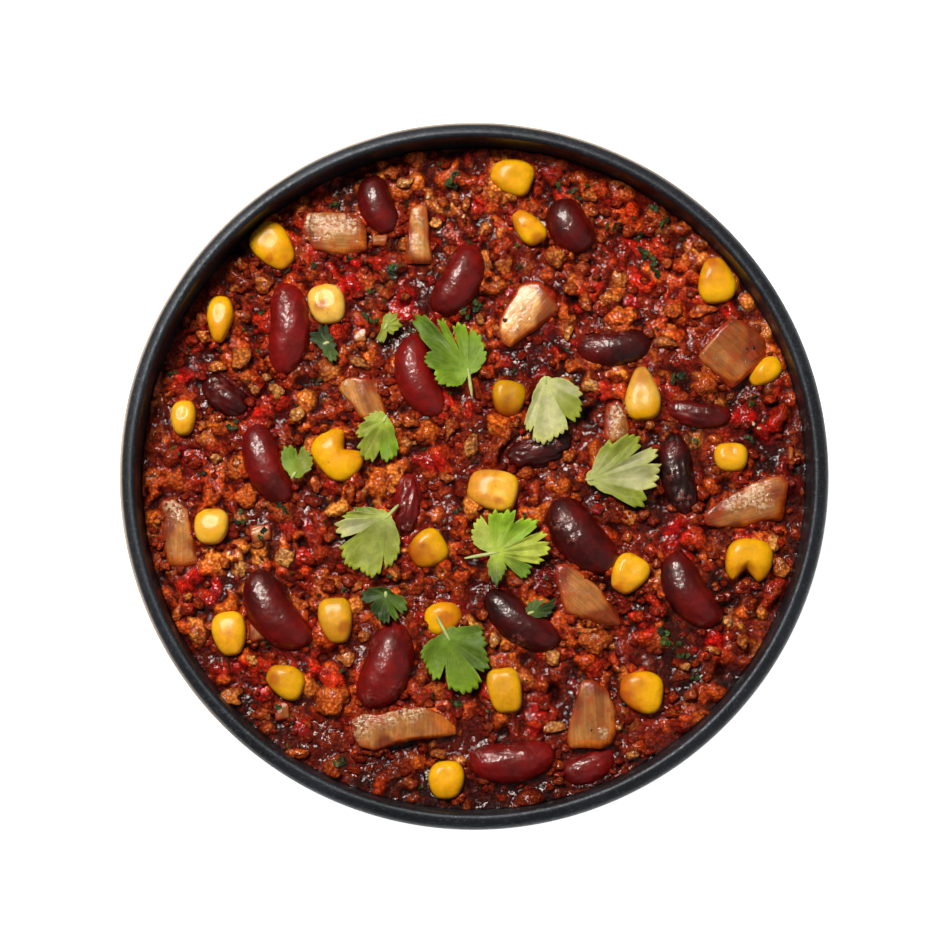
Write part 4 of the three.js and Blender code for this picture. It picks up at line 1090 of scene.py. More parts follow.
def make_tone(ragged):
    """What the colours of the mince are multiplied by over the bowl."""
    tone = np.ones((*ragged.shape[:2], 3))
    for places, colour in ((REDDER, REDDER_BY), (ORANGER, ORANGER_BY), (DARKER, DARKER_BY)):
        for x, y, radius in places:
            part = window(x, y, radius * 1.2 + 1)
            away = np.hypot(ragged[part][..., 0] - x, ragged[part][..., 1] - y) / radius
            tone[part] = mix(tone[part], colour, 0.85 * (1 - smooth(away, 0.4, 1.2)))
    return tone


def random_domes(x, y, long, roundness, own):
    """Rows of x, y, long and short radius, and heading for domes at places."""
    return [x, y, long, long * own.uniform(*roundness, len(x)), own.uniform(0, math.pi, len(x))]


def make_clumps(base, ragged, own):
    """Height and colour of the clumps in which the mince gathers."""
    height, tint = np.full_like(base, -1.7), np.tile(linear(MINCE[4][0]), (*base.shape, 1))
    x, y = jittered(4.4, own)
    domes = random_domes(x, y, own.uniform(2.0, 4.2, len(x)), (0.6, 1), own)
    domes = np.stack([*domes, own.uniform(-1.1, 1.3, len(x))], -1)
    paint(height, tint, np.zeros_like(base), domes, pick_colours(len(x), own), ragged)
    return blurred(height, 3), tint


def lay_grains(fields, ground, clump_tint, ragged, own):
    """Lays larger and smaller grains of mince on the sauce, most of them on the clumps."""
    for spacing, size, sunk in GRAIN_SIZES:
        x, y = jittered(spacing, own)
        long = own.uniform(*size, len(x))
        top = read(ground, x, y) + own.uniform(*sunk, len(x))
        domes = np.stack([*random_domes(x, y, long, (0.5, 0.95), own), top], -1)
        colours = 0.6 * read(clump_tint, x, y) + 0.4 * pick_colours(len(x), own)
        paint(*fields, domes, colours, ragged)


def lay_tomato(height, tint, ragged, own):
    """Colours and raises the sauce where tomato lies in it."""
    for x, y, long, wide in TOMATO:
        part = window(x, y, long)
        turn = own.uniform(0, math.pi)
        along, across = along_across(ragged[part][..., 0] - x, ragged[part][..., 1] - y, turn)
        share = 0.85 * (1 - smooth(np.hypot(along / long, across / wide) * 2, 0.75, 1.15))
        tint[part] = mix(tint[part], linear(TOMATO_RED) * own.uniform(0.8, 1.2), share)
        height[part] += 0.5 * share


def shade_hollows(height, tint, tone):
    """Makes low places darker and redder, painted shade over the deep sauce that gathers there, and
    tops paler, painted light over mince that thin sauce runs off.

    Also gives from 0 to 1 how low a place is.
    """
    fine, broad = blurred(height, 3) - height, blurred(height, 9) - height
    low = smooth(0.6 * fine + 0.8 * broad, -0.25, 0.8)
    high = smooth(-fine - 0.6 * broad, 0.0, 0.9)
    # Painted shade: low places darker and redder, the deepest gaps nearly black.
    tint = mix(tint, tint * [0.62, 0.3, 0.24], smooth(low, 0.1, 0.6))
    tint = mix(tint, linear(GAP_SHADE_RED), 0.8 * smooth(low, 0.5, 1.0))
    # Painted light: tops paler.
    return tint * tone * (1 + high[..., None] * [0.45, 0.85, 0.8]), low


def make_field():
    """Heights, colours and wetness of the sauce's top.

    Grains of mince gather in clumps, ragged and uneven, with the sauce in the gaps between.
    """
    own = np.random.default_rng(31)
    base = base_height()
    ragged = GRID + 1.1 * np.stack([rough(GRID, 2.6, 3, seed) for seed in (21, 25)], -1)
    clump, clump_tint = make_clumps(base, ragged, own)
    tone = make_tone(ragged)
    clump -= 0.9 * (1 - np.clip(tone[..., 0], 0, 1))

    sauce = base - 1.3 + 0.3 * noise(GRID, 5.0, 11)
    height, wet = sauce.copy(), np.ones_like(base)
    thin = smooth(noise(GRID, 8.0, 12), -0.5, 0.6)
    tint = mix(linear(SAUCE_DEEP), linear(SAUCE_THIN), thin)
    paste = 1 - np.clip((tone[..., 1] - 0.4) / 0.5, 0, 1)
    lay_grains((height, tint, wet), base + clump - 0.5 * paste, clump_tint, ragged, own)
    lay_tomato(height, tint, ragged, own)
    dry = blurred(1 - wet, 2)
    height = np.maximum(height, sauce + 0.45 * dry)
    height = climb_pieces(0.5 * height + 0.5 * blurred(height, 1))
    knobs = 0.5 * granules(ragged, 2.0, 41) + 0.5 * granules(ragged, 1.3, 47)
    height += (0.75 * (knobs - 0.5) + 0.1 * noise(GRID, 0.8, 42)) * (0.5 + 0.5 * dry)
    height = under_leaves(height)
    tint = blurred(tint, 1) * (1 + 0.25 * rough(GRID, 1.6, 3, 43))[..., None]
    # Painted shade: the grooves between the knobs darker and redder, more so where the mince is dry.
    tint *= mix(1.0, np.array([0.6, 0.42, 0.36]), (1 - smooth(knobs, 0.15, 0.6)) * (0.4 + 0.6 * dry))
    flecks = smooth(rough(GRID, 1.7, 3, 45), 0.15, 0.55) * (1 - dry)
    tint = mix(tint, linear(SAUCE_FLECK) * (0.7 + 0.6 * thin[..., None]), 0.75 * flecks)
    tint, low = shade_hollows(height, tint, tone)
    return height, tint, wet, low, base, clump, clump_tint * tone


HEIGHT, TINT, WET, PIT, BASE, CLUMP, CLUMP_TINT = make_field()


def film_normals():
    """Which way a film of sauce over the mince faces: smoother than the mince."""
    slopes = np.stack(np.gradient(blurred(HEIGHT, 2), RASTER), -1)
    sideways = 0.22 * noises(GRID, 0.9, (81, 82)) - slopes
    normals = np.concatenate([sideways, np.ones_like(HEIGHT)[..., None]], -1)
    return normals / np.linalg.norm(normals, axis=-1, keepdims=True)


FILM = film_normals()


def disc(rings):
    """Points of a disc of radius 1 on rings of 6, 12, 18 ... points, and its triangles."""
    points, faces, inner = [np.zeros((1, 2))], [], 0
    for k in range(1, rings + 1):
        points.append(unit(circle(6 * k)) * k / rings)
        outer, less = 1 + 3 * k * (k - 1), max(6 * (k - 1), 1)
        i = np.arange(6 * k)
        sector, step = i // k, i % k
        under = inner + (sector * (k - 1) + step) % less
        before = inner + (sector * (k - 1) + step - 1) % less
        faces.append(np.stack([outer + i, outer + (i + 1) % (6 * k), under], -1))
        faces.append(np.stack([outer + i, under, before], -1)[step > 0])
        inner = outer
    return np.concatenate(points), np.concatenate(faces)


def make_core(material):
    """The sauce with all that is one with it, closed by a side and a floor inside the bowl."""
    flat, top = disc(RINGS)
    flat = flat * FOOD_RADIUS
    points = [np.c_[flat, read(HEIGHT, *flat.T)]]
    sides = 6 * RINGS
    rings = [np.arange(len(flat) - sides, len(flat))]
    inner_wall = wall(RIM_RADIUS - LIP, FLOOR, 60)
    for z in (*CORE_HEIGHTS, FLOOR + CORE_GAP):
        radius = np.interp(z, inner_wall[:, 1], inner_wall[:, 0]) - CORE_GAP
        points.append(np.c_[unit(circle(sides)) * radius, np.full(sides, z)])
        rings.append(rings[-1] + sides)
    points = np.concatenate([*points, [[0, 0, FLOOR + CORE_GAP]]])
    faces = np.concatenate([top, *map(band, rings, rings[1:]), fan(len(points) - 1, rings[-1])[:, ::-1]])
    extra = len(points) - len(flat)
    tint, wet, pit, film = (
        np.concatenate([read(field, *flat.T), np.full((extra, *field.shape[2:]), end)])
        for field, end in ((TINT, linear(SAUCE_DEEP)), (WET, 1.0), (PIT, 1.0), (FILM, (0, 0, 1))))
    core = make_object("chili_core", points, faces, tint, {"wet": wet, "pit": pit, "film": film})
    dress(core, material, "chili", "chili")


# ---------------------------------------------------------------- loose crumbs
def crumb_shape(subdivisions, generator):
    """A soft uneven lump covered with granules; also which way it faces without these."""
    points, faces = icosphere(subdivisions)
    seed = int(generator.integers(10000))
    bent = points + 0.3 * noises(points, 0.9, range(seed, seed + 3))
    lump = 1 + 0.75 * rough(bent, 0.9, 2, seed + 3)
    knobs = 0.6 * granules(bent, 0.7, seed + 5) + 0.4 * granules(bent, 0.42, seed + 6)
    reach = lump * (0.74 + 0.32 * knobs)
    facing = points + 0.7 * noises(points, 0.4, range(seed + 6, seed + 9))
    return points * (reach / reach.max())[:, None], faces, smooth(knobs, 0.1, 0.8), facing


def scatter_crumbs(name, crumbs, shapes, colours, material, seed, sink):
    """Crumbs at rows of (x, y, length, width) on the sauce, as one mesh."""
    own = np.random.default_rng(seed)
    ground_field = BASE + 0.7 * CLUMP
    parts, pits, films = [], [], []
    for (x, y, long, wide), colour in zip(crumbs, colours):
        points, faces, top, facing = shapes[own.integers(len(shapes))]
        tall = min(long, wide) * own.uniform(0.55, 0.8)
        tilt, spin = random_turn(own, 0.5), own.uniform(-20, 20)
        radii = np.array([long, wide, tall]) * 0.62
        ground = read(ground_field, x, y)
        place = [x, y, ground + tall * (0.5 - sink * own.uniform(0.7, 1.3))]
        placed = turned((points @ tilt) * radii, spin) + place
        low = smooth(placed[:, 2] - ground, -0.1, 1.5)
        mottle = 1 + 0.3 * noise(placed, 0.9, seed)[:, None]
        # Painted light: granule tops paler in the lit colour; lower down the crumbs take the sauce's dark
        # red.
        lit = colour * mottle * (0.65 + top[:, None] * [0.45, 0.6, 0.55])
        film = turned((facing @ tilt) / radii, spin)
        parts.append((placed, faces, mix(linear(CRUMB_SUNK) * mottle, lit, low)))
        # Less wet reflection low on each crumb, a painted shade on the film.
        pits.append(1 - low)
        films.append(film / np.linalg.norm(film, axis=1, keepdims=True))
    values = {"pit": np.concatenate(pits), "film": np.concatenate(films)}
    dress(make_object(name, *joined(parts), values), material, "chili")


def clear_of_pieces(x, y, gap):
    """True where a crumb keeps a distance from every larger piece."""
    free = np.hypot(x, y) < FOOD_RADIUS - EDGE_GAP
    for name in PIECES:
        free &= off_piece(name, x, y) > gap
    return free


def under_leaf(x, y):
    """True where a leaf covers a place."""
    return np.any([leaf_covers(name, x, y, 0.3) for name in LEAVES], axis=0)


def crumb_rows(x, y, size, own):
    """Rows of x, y, length and width for crumbs at places."""
    long = own.uniform(*size, len(x))
    return np.stack([x, y, long, long * own.uniform(0.6, 1.0, len(x))], -1)


def random_rows(spacing, size, gap, seed, share=1.0):
    """Rows for a share of the crumbs that fit between the larger pieces and outside the hollows."""
    own = np.random.default_rng(seed)
    x, y = jittered(spacing, own)
    keep = clear_of_pieces(x, y, gap) & ~under_leaf(x, y) & (own.uniform(0, 1, len(x)) < share)
    for x0, y0, radius, _ in HOLLOWS:
        keep &= np.hypot(x - x0, y - y0) > radius
    return crumb_rows(x[keep], y[keep], size, own)


def rows_round_pieces(seed):
    """Crumbs that lean on the larger pieces, so that these lie in the mince and not on it."""
    own = np.random.default_rng(seed)
    places = []
    for name in PIECES:
        _, reach, _ = size_of(name)
        out, crowd = ((-0.7, 1.4), 2.0) if name in OUTLINES else ((0.2, 1.2), 1.3)
        places.append(np.stack(outline_of(name, int(crowd * reach), out, own), -1))
    x, y = np.concatenate(places).T
    keep = (np.hypot(x, y) < FOOD_RADIUS - EDGE_GAP) & ~under_leaf(x, y)
    for name in PIECES:
        keep &= off_piece(name, x, y) > (-0.9 if name in OUTLINES else -0.2)
    return crumb_rows(x[keep], y[keep], (1.6, 3.0), own)


def crumb_colours(crumbs, generator):
    """Colours near those of the clumps the crumbs lie on."""
    near = read(CLUMP_TINT, crumbs[:, 0], crumbs[:, 1])
    own = 0.5 * near + 0.5 * pick_colours(len(crumbs), generator)
    return own * generator.uniform(0.85, 1.2, (len(crumbs), 1))


def make_crumbs():
    """Crumbs that stand out in the photograph's places, and smaller ones everywhere."""
    own = np.random.default_rng(51)
    material = grainy("fried_mince", 1.0)
    shapes = [crumb_shape(3, own) for _ in range(16)]
    colours = [linear(CRUMB_BRIGHT[own.integers(3)]) * own.uniform(0.8, 1.2) for _ in LARGE_CRUMBS]
    scatter_crumbs("mince_lumps", LARGE_CRUMBS, shapes, colours, material, 53, 0.42)
    crumbs = random_rows(4.6, (2.2, 4.0), 0.8, 52, 0.45)
    scatter_crumbs("mince_large", crumbs, shapes, crumb_colours(crumbs, own), material, 54, 0.55)
    crumbs = random_rows(3.4, (1.6, 2.8), 0.4, 55, 0.35)
    small_shapes = [crumb_shape(2, own) for _ in range(14)]
    scatter_crumbs("mince_small", crumbs, small_shapes, crumb_colours(crumbs, own), material, 56, 0.6)
    crumbs = rows_round_pieces(57)
    scatter_crumbs("mince_at_edges", crumbs, small_shapes, crumb_colours(crumbs, own), material, 58, 0.35)


# ---------------------------------------------------------------- beans
def blunt(x, power):
    """How a ball's cross-section at x is widened to make blunt ends."""
    return np.maximum(1 - x * x, 1e-6) ** ((power - 1) / 2)


def make_bean(name, material, seed):
    """A kidney: a blunt ball bent over its length, dented in the middle and more or less wrinkled."""
    x0, y0, heading, length, width, bend, height, wrinkled, red = BEANS[name]
    sphere, faces = ball(52, 40)
    own = np.random.default_rng(seed)
    x, y, z = sphere.T
    spine = 2 * bend * (x * x - 0.35)
    # The hilum is a shallow dent in the middle of the hollow side.
    dent = 0.5 * np.exp(-(x / 0.3) ** 2) * smooth(y, 0.4, 1.0)
    swell = blunt(x, 0.8)
    points = np.stack([x * length / 2, y * width / 2 * swell + spine - dent,
                       z * BEAN_THICKNESS * width / 2 * swell], -1)
    points *= 1 + 0.02 * noise(points, 5.0, seed)[:, None]
    fold = np.abs(rough(points * [0.45, 1.4, 1.4], 2.4, 2, seed + 1))
    points -= sphere * (0.45 * wrinkled * (1 - smooth(fold, 0.0, 0.28)))[:, None]
    place = np.array([x0, y0, SAUCE_LEVEL + height])
    placed = turned(points, heading) + place
    patch = rough(points, 6.0, 3, seed + 2) + 0.9 * red + 0.25 * x * own.uniform(-1, 1)
    tint = mix(linear(BEAN_DEEP), linear(BEAN_RED), smooth(patch, -1.0, 1.2))
    low = 1 - smooth(placed[:, 2] - place[2], -1.0, 0.8)
    tint = mix(tint, linear(BEAN_SUNK), 0.5 * low)
    # Pale froth patches, partly painted highlights.
    froth_and_highlight = spots(placed, FROTH_AND_HIGHLIGHTS, seed + 4) * (1 - low)
    bean = make_object(name, placed, faces, tint, {"froth_and_highlight": froth_and_highlight})
    dress(bean, material, "bean", *node_of(name))


# ---------------------------------------------------------------- kernels
LIGHT_HEADING = 123  # where the window is, in degrees from +X


def leaned(points, degrees, heading):
    """Points tipped towards a heading."""
    a = math.radians(degrees)
    tip = np.array([[math.cos(a), 0, -math.sin(a)], [0, 1, 0], [math.sin(a), 0, math.cos(a)]])
    return turned(turned(points, -heading) @ tip, heading)


def kernel_shape(name, own, seed):
    """A pillow with flattened sides, narrower towards the tip, and a low dimple in its crown."""
    _, _, _, length, width, notch, _, tip, block, *_ = KERNELS[name]
    sphere, faces = ball(44, 34)
    power = 2.2 + 1.5 * block
    x, y, z = (sphere / (np.abs(sphere) ** power).sum(1, keepdims=True) ** (1 / power)).T
    spread = tip + (1 - tip) * smooth(x, -1, 0.3)
    dent = notch * smooth(-x, -0.35, 1) * np.maximum(1 - np.abs(y) * 1.7, 0)
    skew = own.uniform(-0.06, 0.06) * width
    points = np.stack([x * length / 2 + dent, y * width / 2 * spread + skew * x,
                       z * KERNEL_THICKNESS / 2 * (0.85 + 0.15 * smooth(x, -1, 0))], -1)
    hollow = np.exp(-((x - 0.3) ** 2 + y ** 2) / 0.2) * smooth(z, 0.2, 1.0)
    points[:, 2] -= own.uniform(0.1, 0.4) * hollow
    points *= 1 + 0.035 * noise(points, 4.5, seed)[:, None]
    return points, faces, x, z


def make_kernel(name, material, seed):
    """A kernel, amber towards its tip, creamy on top, partly a painted highlight, and stained by the
    sauce lower down.
    """
    x0, y0, heading, _, _, _, height, _, _, lean, amber, pale = KERNELS[name]
    points, faces, x, z = kernel_shape(name, np.random.default_rng(seed), seed)
    place = np.array([x0, y0, SAUCE_LEVEL + height])
    placed = leaned(turned(points, heading), lean, LIGHT_HEADING) + place
    # Painted highlight, in part: the pale, creamy top.
    top = smooth(rough(points, 2.6, 3, seed + 1) + 0.5 * z - 0.3 * x, -0.3, 0.5)
    tint = mix(linear(CORN_YELLOW), linear(CORN_CREAM_AND_HIGHLIGHT), min(0.9 * pale * pale, 0.7) * top)
    shade = rough(points, 4.0, 3, seed + 4)
    brown = amber * smooth(-x + 0.7 * shade, -0.5, 0.9) + 0.35 * smooth(shade, 0.1, 0.8)
    tint = mix(tint, linear(CORN_AMBER), np.clip(brown, 0, 1))
    tint = mix(tint, linear(CORN_STAIN), 0.7 * spots(placed, CORN_STAINS, seed + 5))
    low = 1 - smooth(placed[:, 2] - place[2] + 0.9 * noise(placed, 2.6, seed + 3), -0.9, 1.2)
    tint = mix(tint, linear(CORN_SUNK), 0.85 * low) * SHADES.get(name, 1.0)
    kernel = make_object(name, placed, faces, tint)
    dress(kernel, material, "corn", *node_of(name))


# ---------------------------------------------------------------- onion
def onion_shape(name, seed):
    """A flat piece of onion layer: an outline with cut edges, bowed a little over its fibres.

    With its points and triangles come, for each point: the share of the way out to the edge, the
    distance from the edge, the offsets across and along the fibres, how much it lies towards the
    sloping cut, and whether it is on the side or below.
    """
    heading, _, _, _, corners = ONIONS[name]
    steps = 96 if np.ptp(corners, axis=0).max() > 7 else 48
    middle, at, reach = reach_of(corners, steps)
    reach = reach * (1 + 0.03 * noise(unit(at), 0.25, seed))
    share = np.concatenate([np.linspace(0, 0.9, 13)[1:], [0.95, 0.98, 1.0]])
    flat = share[:, None, None] * reach[:, None] * unit(at)
    flat = np.concatenate([[[0.0, 0.0]], flat.reshape(-1, 2)])
    out = np.concatenate([[0.0], np.repeat(share, steps)])
    along, across = along_across(*flat.T, math.radians(heading))
    bow = 0.4 - (across / np.abs(across).max()) ** 2 + 0.25 * noise(flat, 5.0, seed + 4)
    # The cut face towards the lower right slopes, so that it shows from above.
    facing = np.concatenate([[0.0], np.tile(smooth(np.cos(at + math.radians(55)), 0.0, 0.7), len(share))])
    round_off = 0.4 * smooth(out, 0.88, 1.0) ** 2 + 0.8 * facing * smooth(out, 0.74, 1.0)
    ridges = 0.06 * noise(np.stack([across, along / 8], -1), 0.8, seed + 2)
    top = bow + ONION_THICKNESS / 2 + ridges * (1 - smooth(out, 0.8, 0.95)) - round_off
    points = np.concatenate([np.c_[flat, top], np.c_[flat * 0.97, bow - ONION_THICKNESS / 2]])
    from_rim = (1 - out) * np.concatenate([[reach.mean()], np.tile(reach, len(share))])
    marks = [np.tile(values, 2) for values in (out, from_rim, across, along, facing)]
    side = (np.arange(len(points)) >= len(flat)) | (marks[0] > 0.995)
    return points + [*middle, 0], slab(steps, len(share)), *marks, side


def make_onion(name, material, seed):
    """Onion with pale and tan bands along its fibres, orange at the cut and red at the edge."""
    _, height, pale, orange, _ = ONIONS[name]
    points, faces, out, from_rim, across, along, facing, side = onion_shape(name, seed)
    placed = points + [0, 0, ONION_LEVEL + height]
    cloud = rough(placed[:, :2], 5.0, 3, seed + 6)
    band_noise = noise(np.stack([across, along / 14], -1), 2.2, seed + 5)
    light = np.clip(pale + 0.5 * band_noise + 0.3 * cloud, 0, 1.4)
    tint = mix(linear(ONION_TAN), linear(ONION_PALE), light) * (1 - 0.3 * smooth(cloud, 0.0, 0.8))[:, None]
    edge = 1 - smooth(from_rim + 0.6 * cloud, 0.2, 1.6)
    cut = np.maximum(facing * smooth(out + 0.08 * cloud, 0.7, 0.8), 0.5 * edge)
    tint = mix(tint, linear(ONION_EDGE), 0.9 * orange * cut)
    under_sauce = smooth(noise(placed[:, :2], 4.0, seed + 8) - 1.3 * (1 - out), -0.6, 0.2)
    tint = mix(tint, linear(ONION_SUNK), 0.85 * under_sauce)
    tint = mix(tint, linear(ONION_RIM), 0.85 * (1 - smooth(from_rim + 0.7 * cloud, 0.0, 0.9)))
    tint = mix(tint, linear(STAIN), 0.8 * side) * SHADES.get(name, 1.0)
    # Pale froth patches, partly painted highlights.
    froth_and_highlight = spots(placed, FROTH_AND_HIGHLIGHTS, seed + 7) * (1 - side)
    onion = make_object(name, placed, faces, tint, {"froth_and_highlight": froth_and_highlight, "across": across, "along": along})
    dress(onion, material, "onion", *node_of(name))


# ---------------------------------------------------------------- leaves
def leaf_tint(name, grid, out, share, across, tip, lobe, seed):
    """Each lobe has its own green; veins run to the teeth, and the edges are paler."""
    tones = LEAF_TONES[name]
    colours = [linear(LEAF_COLOURS[tones[min(k, len(tones) - 1)]]) for k in range(int(lobe.max()) + 1)]
    tint = mix(np.mean(colours, 0), np.array(colours)[lobe], smooth(out, 0.1, 0.6))
    tint = tint * (1 + 0.22 * rough(grid, 3.0, 2, seed + 2))[..., None]
    tint = mix(tint, 0.5 * tint + 0.5 * linear(VEIN), 0.35 * tip * (1 - 0.6 * share))
    midrib = np.exp(-(across / 0.35) ** 2) * smooth(share, 0.1, 0.3) * (1 - share)
    tint = mix(tint, tint * LEAF_MIDRIB, midrib)
    return mix(tint, tint * LEAF_EDGE, smooth(share, 0.8, 1.0)) * SHADES.get(name, 1.0)


def make_leaf(name, material, seed):
    """A leaf with a crease down each lobe, lying on what is below it."""
    hub_x, hub_y, stalk_turn, stalk_length, outline = LEAVES[name]
    own = np.random.default_rng(seed)
    angle, reach, tip, lobe = leaf_outline(outline)
    share = ((np.arange(LEAF_RINGS + 1) / LEAF_RINGS) ** 0.75)[:, None] + np.zeros_like(angle)
    away = share * reach
    grid = [hub_x, hub_y] + away[..., None] * unit(np.radians(angle))
    lobes = range(int(lobe.max()) + 1)
    middle = np.array([np.average(angle[lobe == k], weights=reach[lobe == k]) for k in lobes])
    half = np.array([max(np.ptp(angle[lobe == k]) / 2, 4) for k in lobes])
    across = (angle - middle[lobe]) / half[lobe]
    lift = own.uniform(-0.25, 0.25, len(lobes))[lobe]
    tilt = own.uniform(-0.3, 0.3, len(lobes))[lobe] * across
    out = away / reach.max()
    crease = 0.55 * (1 - np.abs(across)) * smooth(out, 0.05, 0.6)
    wave = 0.35 * rough(grid, 3.2, 2, seed) * smooth(out, 0.0, 0.7)
    z = leaf_surface(name)(*np.moveaxis(grid, -1, 0)) + 0.25 + (lift + tilt) * smooth(out, 0.2, 0.8)
    z = np.minimum(z - crease + wave, LEAF_TOP)
    middle_layer = np.concatenate([grid, z[..., None]], -1)
    middle_layer = np.concatenate([middle_layer[:1, 0], middle_layer[1:].reshape(-1, 3)])
    points = np.concatenate([middle_layer + [0, 0, LEAF_HALF], middle_layer - [0, 0, LEAF_HALF]])
    tint = leaf_tint(name, grid, out, share, across, tip, lobe, seed)
    tint = tint * (1 + 0.5 * np.exp(-(away / 2.4) ** 2))[..., None]
    tint = np.concatenate([tint[:1, 0], tint[1:].reshape(-1, 3)])
    blade = points, slab(len(angle), LEAF_RINGS), np.concatenate([tint, tint * 0.8])
    stalk = stalk_parts(hub_x, hub_y, z[0, 0], stalk_turn, stalk_length)
    leaf = make_object(f"coriander_{name}", *joined([blade, stalk]))
    dress(leaf, material, "leaf", *([name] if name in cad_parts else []))


def stalk_parts(x, y, z, direction, length):
    """A thin round stalk from the hub outwards."""
    sphere, faces = ball(8, 10)
    points = sphere * [length / 2 + 0.5, 0.42, 0.36]
    points[:, 0] += length / 2 - 0.2
    tint = np.tile(linear(STALK), (len(points), 1))
    return turned(points, direction) + [x, y, z + 0.1], faces, tint


# ---------------------------------------------------------------- herbs, pepper and skins
def flake(generator, long, wide):
    """A thin ragged scrap of leaf, bent over its length."""
    count = 13
    reach = generator.uniform(0.6, 1.0, count)
    ring = unit(circle(count)) * reach[:, None] * [long / 2, wide / 2]
    flat = np.concatenate([[[0, 0]], ring * 0.5, ring])
    bend = generator.uniform(-0.25, 0.25) * (flat[:, 0] / long * 2) ** 2
    rise = bend + generator.uniform(-0.1, 0.1, len(flat))
    return np.concatenate([np.c_[flat, rise + 0.1], np.c_[flat, rise - 0.1]]), slab(count, 2)


def resting_height(x, y, reach=0.5):
    """Height of the sauce's highest point near a place."""
    return max(read(HEIGHT, x + dx, y + dy) for dx in (-reach, 0, reach) for dy in (-reach, 0, reach))


def top_of_pieces(x, y):
    """Height of the onion or sauce below a place."""
    for name in ONIONS:
        if off_piece(name, x, y) < -0.6:
            return ONION_LEVEL + ONIONS[name][1] + ONION_THICKNESS / 2 + 0.2
    return resting_height(x, y)


def make_herbs(material):
    """Scraps of chopped coriander, two to four at each place."""
    own = np.random.default_rng(61)
    extra = random_rows(8.0, (1.0, 2.0), 0.6, 62, 0.8) * [1, 1, 1, 0.6]
    parts = []
    for x, y, long, wide in [*HERBS, *extra]:
        for _ in range(2 + int(long > 2.2) + int(long > 3.2)):
            at_x, at_y = x + own.uniform(-0.4, 0.4) * long, y + own.uniform(-0.4, 0.4) * long
            points, faces = flake(own, long * own.uniform(0.4, 0.7), wide * own.uniform(0.45, 0.8))
            points = turned(points @ random_turn(own, 0.3), own.uniform(0, 180))
            colour = mix(linear(HERB_DARK), linear(HERB_GREEN), own.uniform(0, 1) ** 1.5)
            shades = own.uniform(0.6, 1.5, (len(points), 1))
            parts.append((points + [at_x, at_y, top_of_pieces(at_x, at_y) + 0.2], faces, colour * shades))
    dress(make_object("herb_flecks", *joined(parts), smooth_shaded=False), material, "leaf")


def make_specks(name, specks, colour, thickness, own, material):
    """Pepper or seeds: small lumps at rows of (x, y, size)."""
    parts = []
    for x, y, size in specks:
        points, faces, _, _ = crumb_shape(2, own)
        points = turned(points * [1, thickness, 0.6 * thickness], own.uniform(0, 180)) * size / 2
        tint = np.tile(linear(colour), (len(points), 1))
        parts.append((points + [x, y, top_of_pieces(x, y) + 0.1], faces, tint))
    dress(make_object(name, *joined(parts)), material, "chili")


# ---------------------------------------------------------------- room
def look_at(thing, target):
    """Turns a light or camera towards a place."""
    thing.rotation_euler = (Vector(target) - thing.location).to_track_quat("-Z", "Y").to_euler()


def add_light(name, place, size, power, colour=(1, 1, 1)):
    """A soft rectangular light that faces the food."""
    lamp = bpy.data.lights.new(name, "AREA")
    lamp.shape = "RECTANGLE"
    lamp.size, lamp.size_y = size
    lamp.energy = power
    lamp.color = colour
    thing = bpy.data.objects.new(name, lamp)
    bpy.context.scene.collection.objects.link(thing)
    thing.location = place
    look_at(thing, (0, 0, SAUCE_LEVEL * MM))


PHOTO_SIZE = 950
FOCAL_PIXELS = 3334
RIM_CENTRE_PIXEL = (474.0, 472.9)
CAMERA_DISTANCE = 0.75
CAMERA_ELEVATION = 86


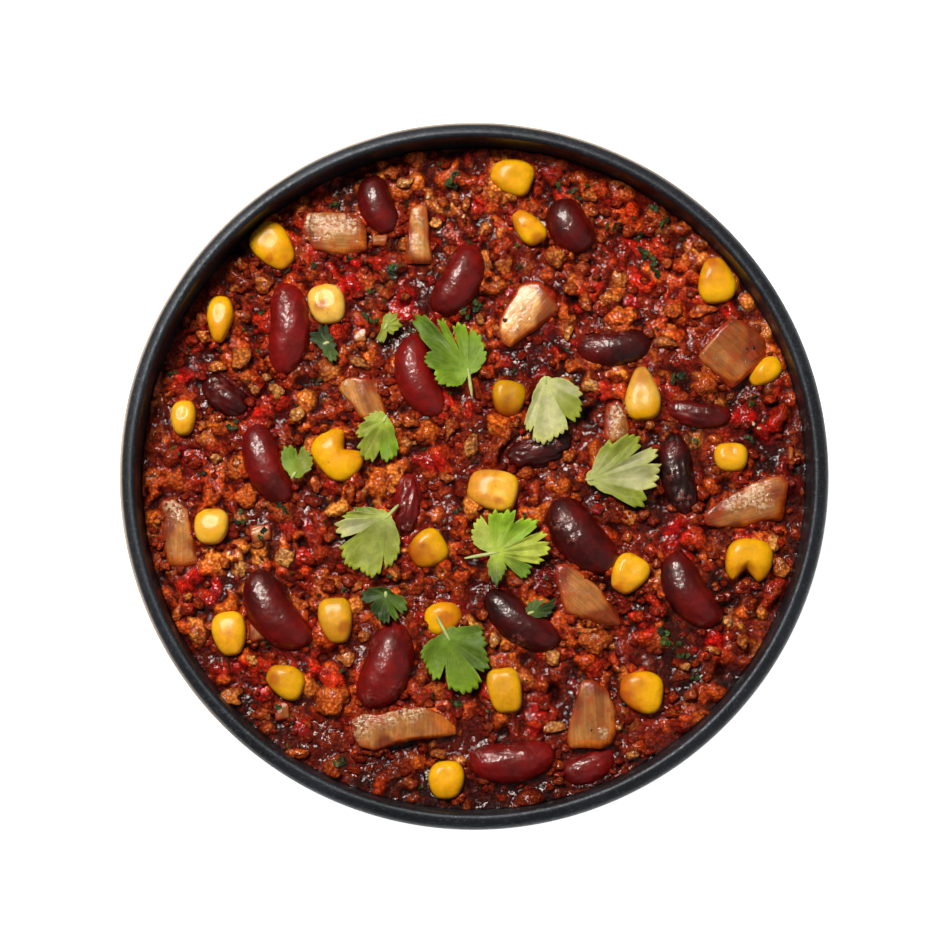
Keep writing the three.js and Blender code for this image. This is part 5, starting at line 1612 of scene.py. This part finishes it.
def make_camera():
    """A camera nearly straight above, whose picture has the rim where the photograph has it."""
    camera = bpy.data.cameras.new("camera")
    camera.sensor_width = 36
    camera.lens = camera.sensor_width * FOCAL_PIXELS / PHOTO_SIZE
    camera.clip_start, camera.clip_end = 0.05, 20
    thing = bpy.data.objects.new("camera", camera)
    bpy.context.scene.collection.objects.link(thing)
    elevation = math.radians(CAMERA_ELEVATION)
    back = Vector((0, -math.cos(elevation), math.sin(elevation)))
    up = Vector((0, math.sin(elevation), math.cos(elevation)))
    # The rim's middle lies a little off the middle of the picture.
    right_by, down_by = ((at - PHOTO_SIZE / 2) * CAMERA_DISTANCE / FOCAL_PIXELS for at in RIM_CENTRE_PIXEL)
    aim = Vector((-right_by, 0, BOWL_HEIGHT * MM)) + up * down_by
    thing.location = aim + back * CAMERA_DISTANCE
    look_at(thing, aim)
    bpy.context.scene.camera = thing


def make_room():
    """A plain pale floor in a dim white studio, a small warm key light and a large weak fill."""
    scene = bpy.context.scene
    scene.view_settings.view_transform = "Standard"
    scene.world = bpy.data.worlds.new("studio")
    scene.world.use_nodes = True
    background = scene.world.node_tree.nodes["Background"]
    background.inputs["Color"].default_value = (1, 1, 1, 1)
    background.inputs["Strength"].default_value = 0.08
    add_light("key", (-0.33, 0.52, 1.12), (0.42, 0.36), 16.4, (1.0, 0.955, 0.89))
    add_light("fill", (0.8, -0.6, 0.7), (1.7, 1.7), 1.6)
    bpy.ops.mesh.primitive_plane_add(size=6, location=(0, 0, 0))
    floor = bpy.context.object
    floor.name = "floor"
    floor.data.materials.append(floor_material())


def make_food():
    """The sauce and its crumbs, the larger pieces, and the small scattered things."""
    make_core(grainy("sauce", 0.65))
    make_crumbs()
    kinds = (
        (BEANS, make_bean, bean_material(), 100), (KERNELS, make_kernel, corn_material(), 400),
        (ONIONS, make_onion, onion_material(), 700), (LEAVES, make_leaf, leaf_material(), 900),
    )
    for table, make, material, seed in kinds:
        for k, name in enumerate(table):
            make(name, material, seed + 10 * k)
    make_herbs(scrap_material("chopped_herb", 0.9, 3.0, 0.5, Roughness=0.5, Coat_Weight=0.15,
                              Specular_IOR_Level=0.3))
    own = np.random.default_rng(71)
    specks = scrap_material("pepper_and_seeds", 0.4, 2.0, 0.3, Roughness=0.45, Coat_Weight=0.4)
    make_specks("pepper_specks", PEPPER, PEPPER_BLACK, 1.0, own, specks)
    make_specks("pale_seeds", SEEDS, SEED_CREAM, 0.6, own, specks)


make_room()
make_camera()
make_bowl()
make_food()
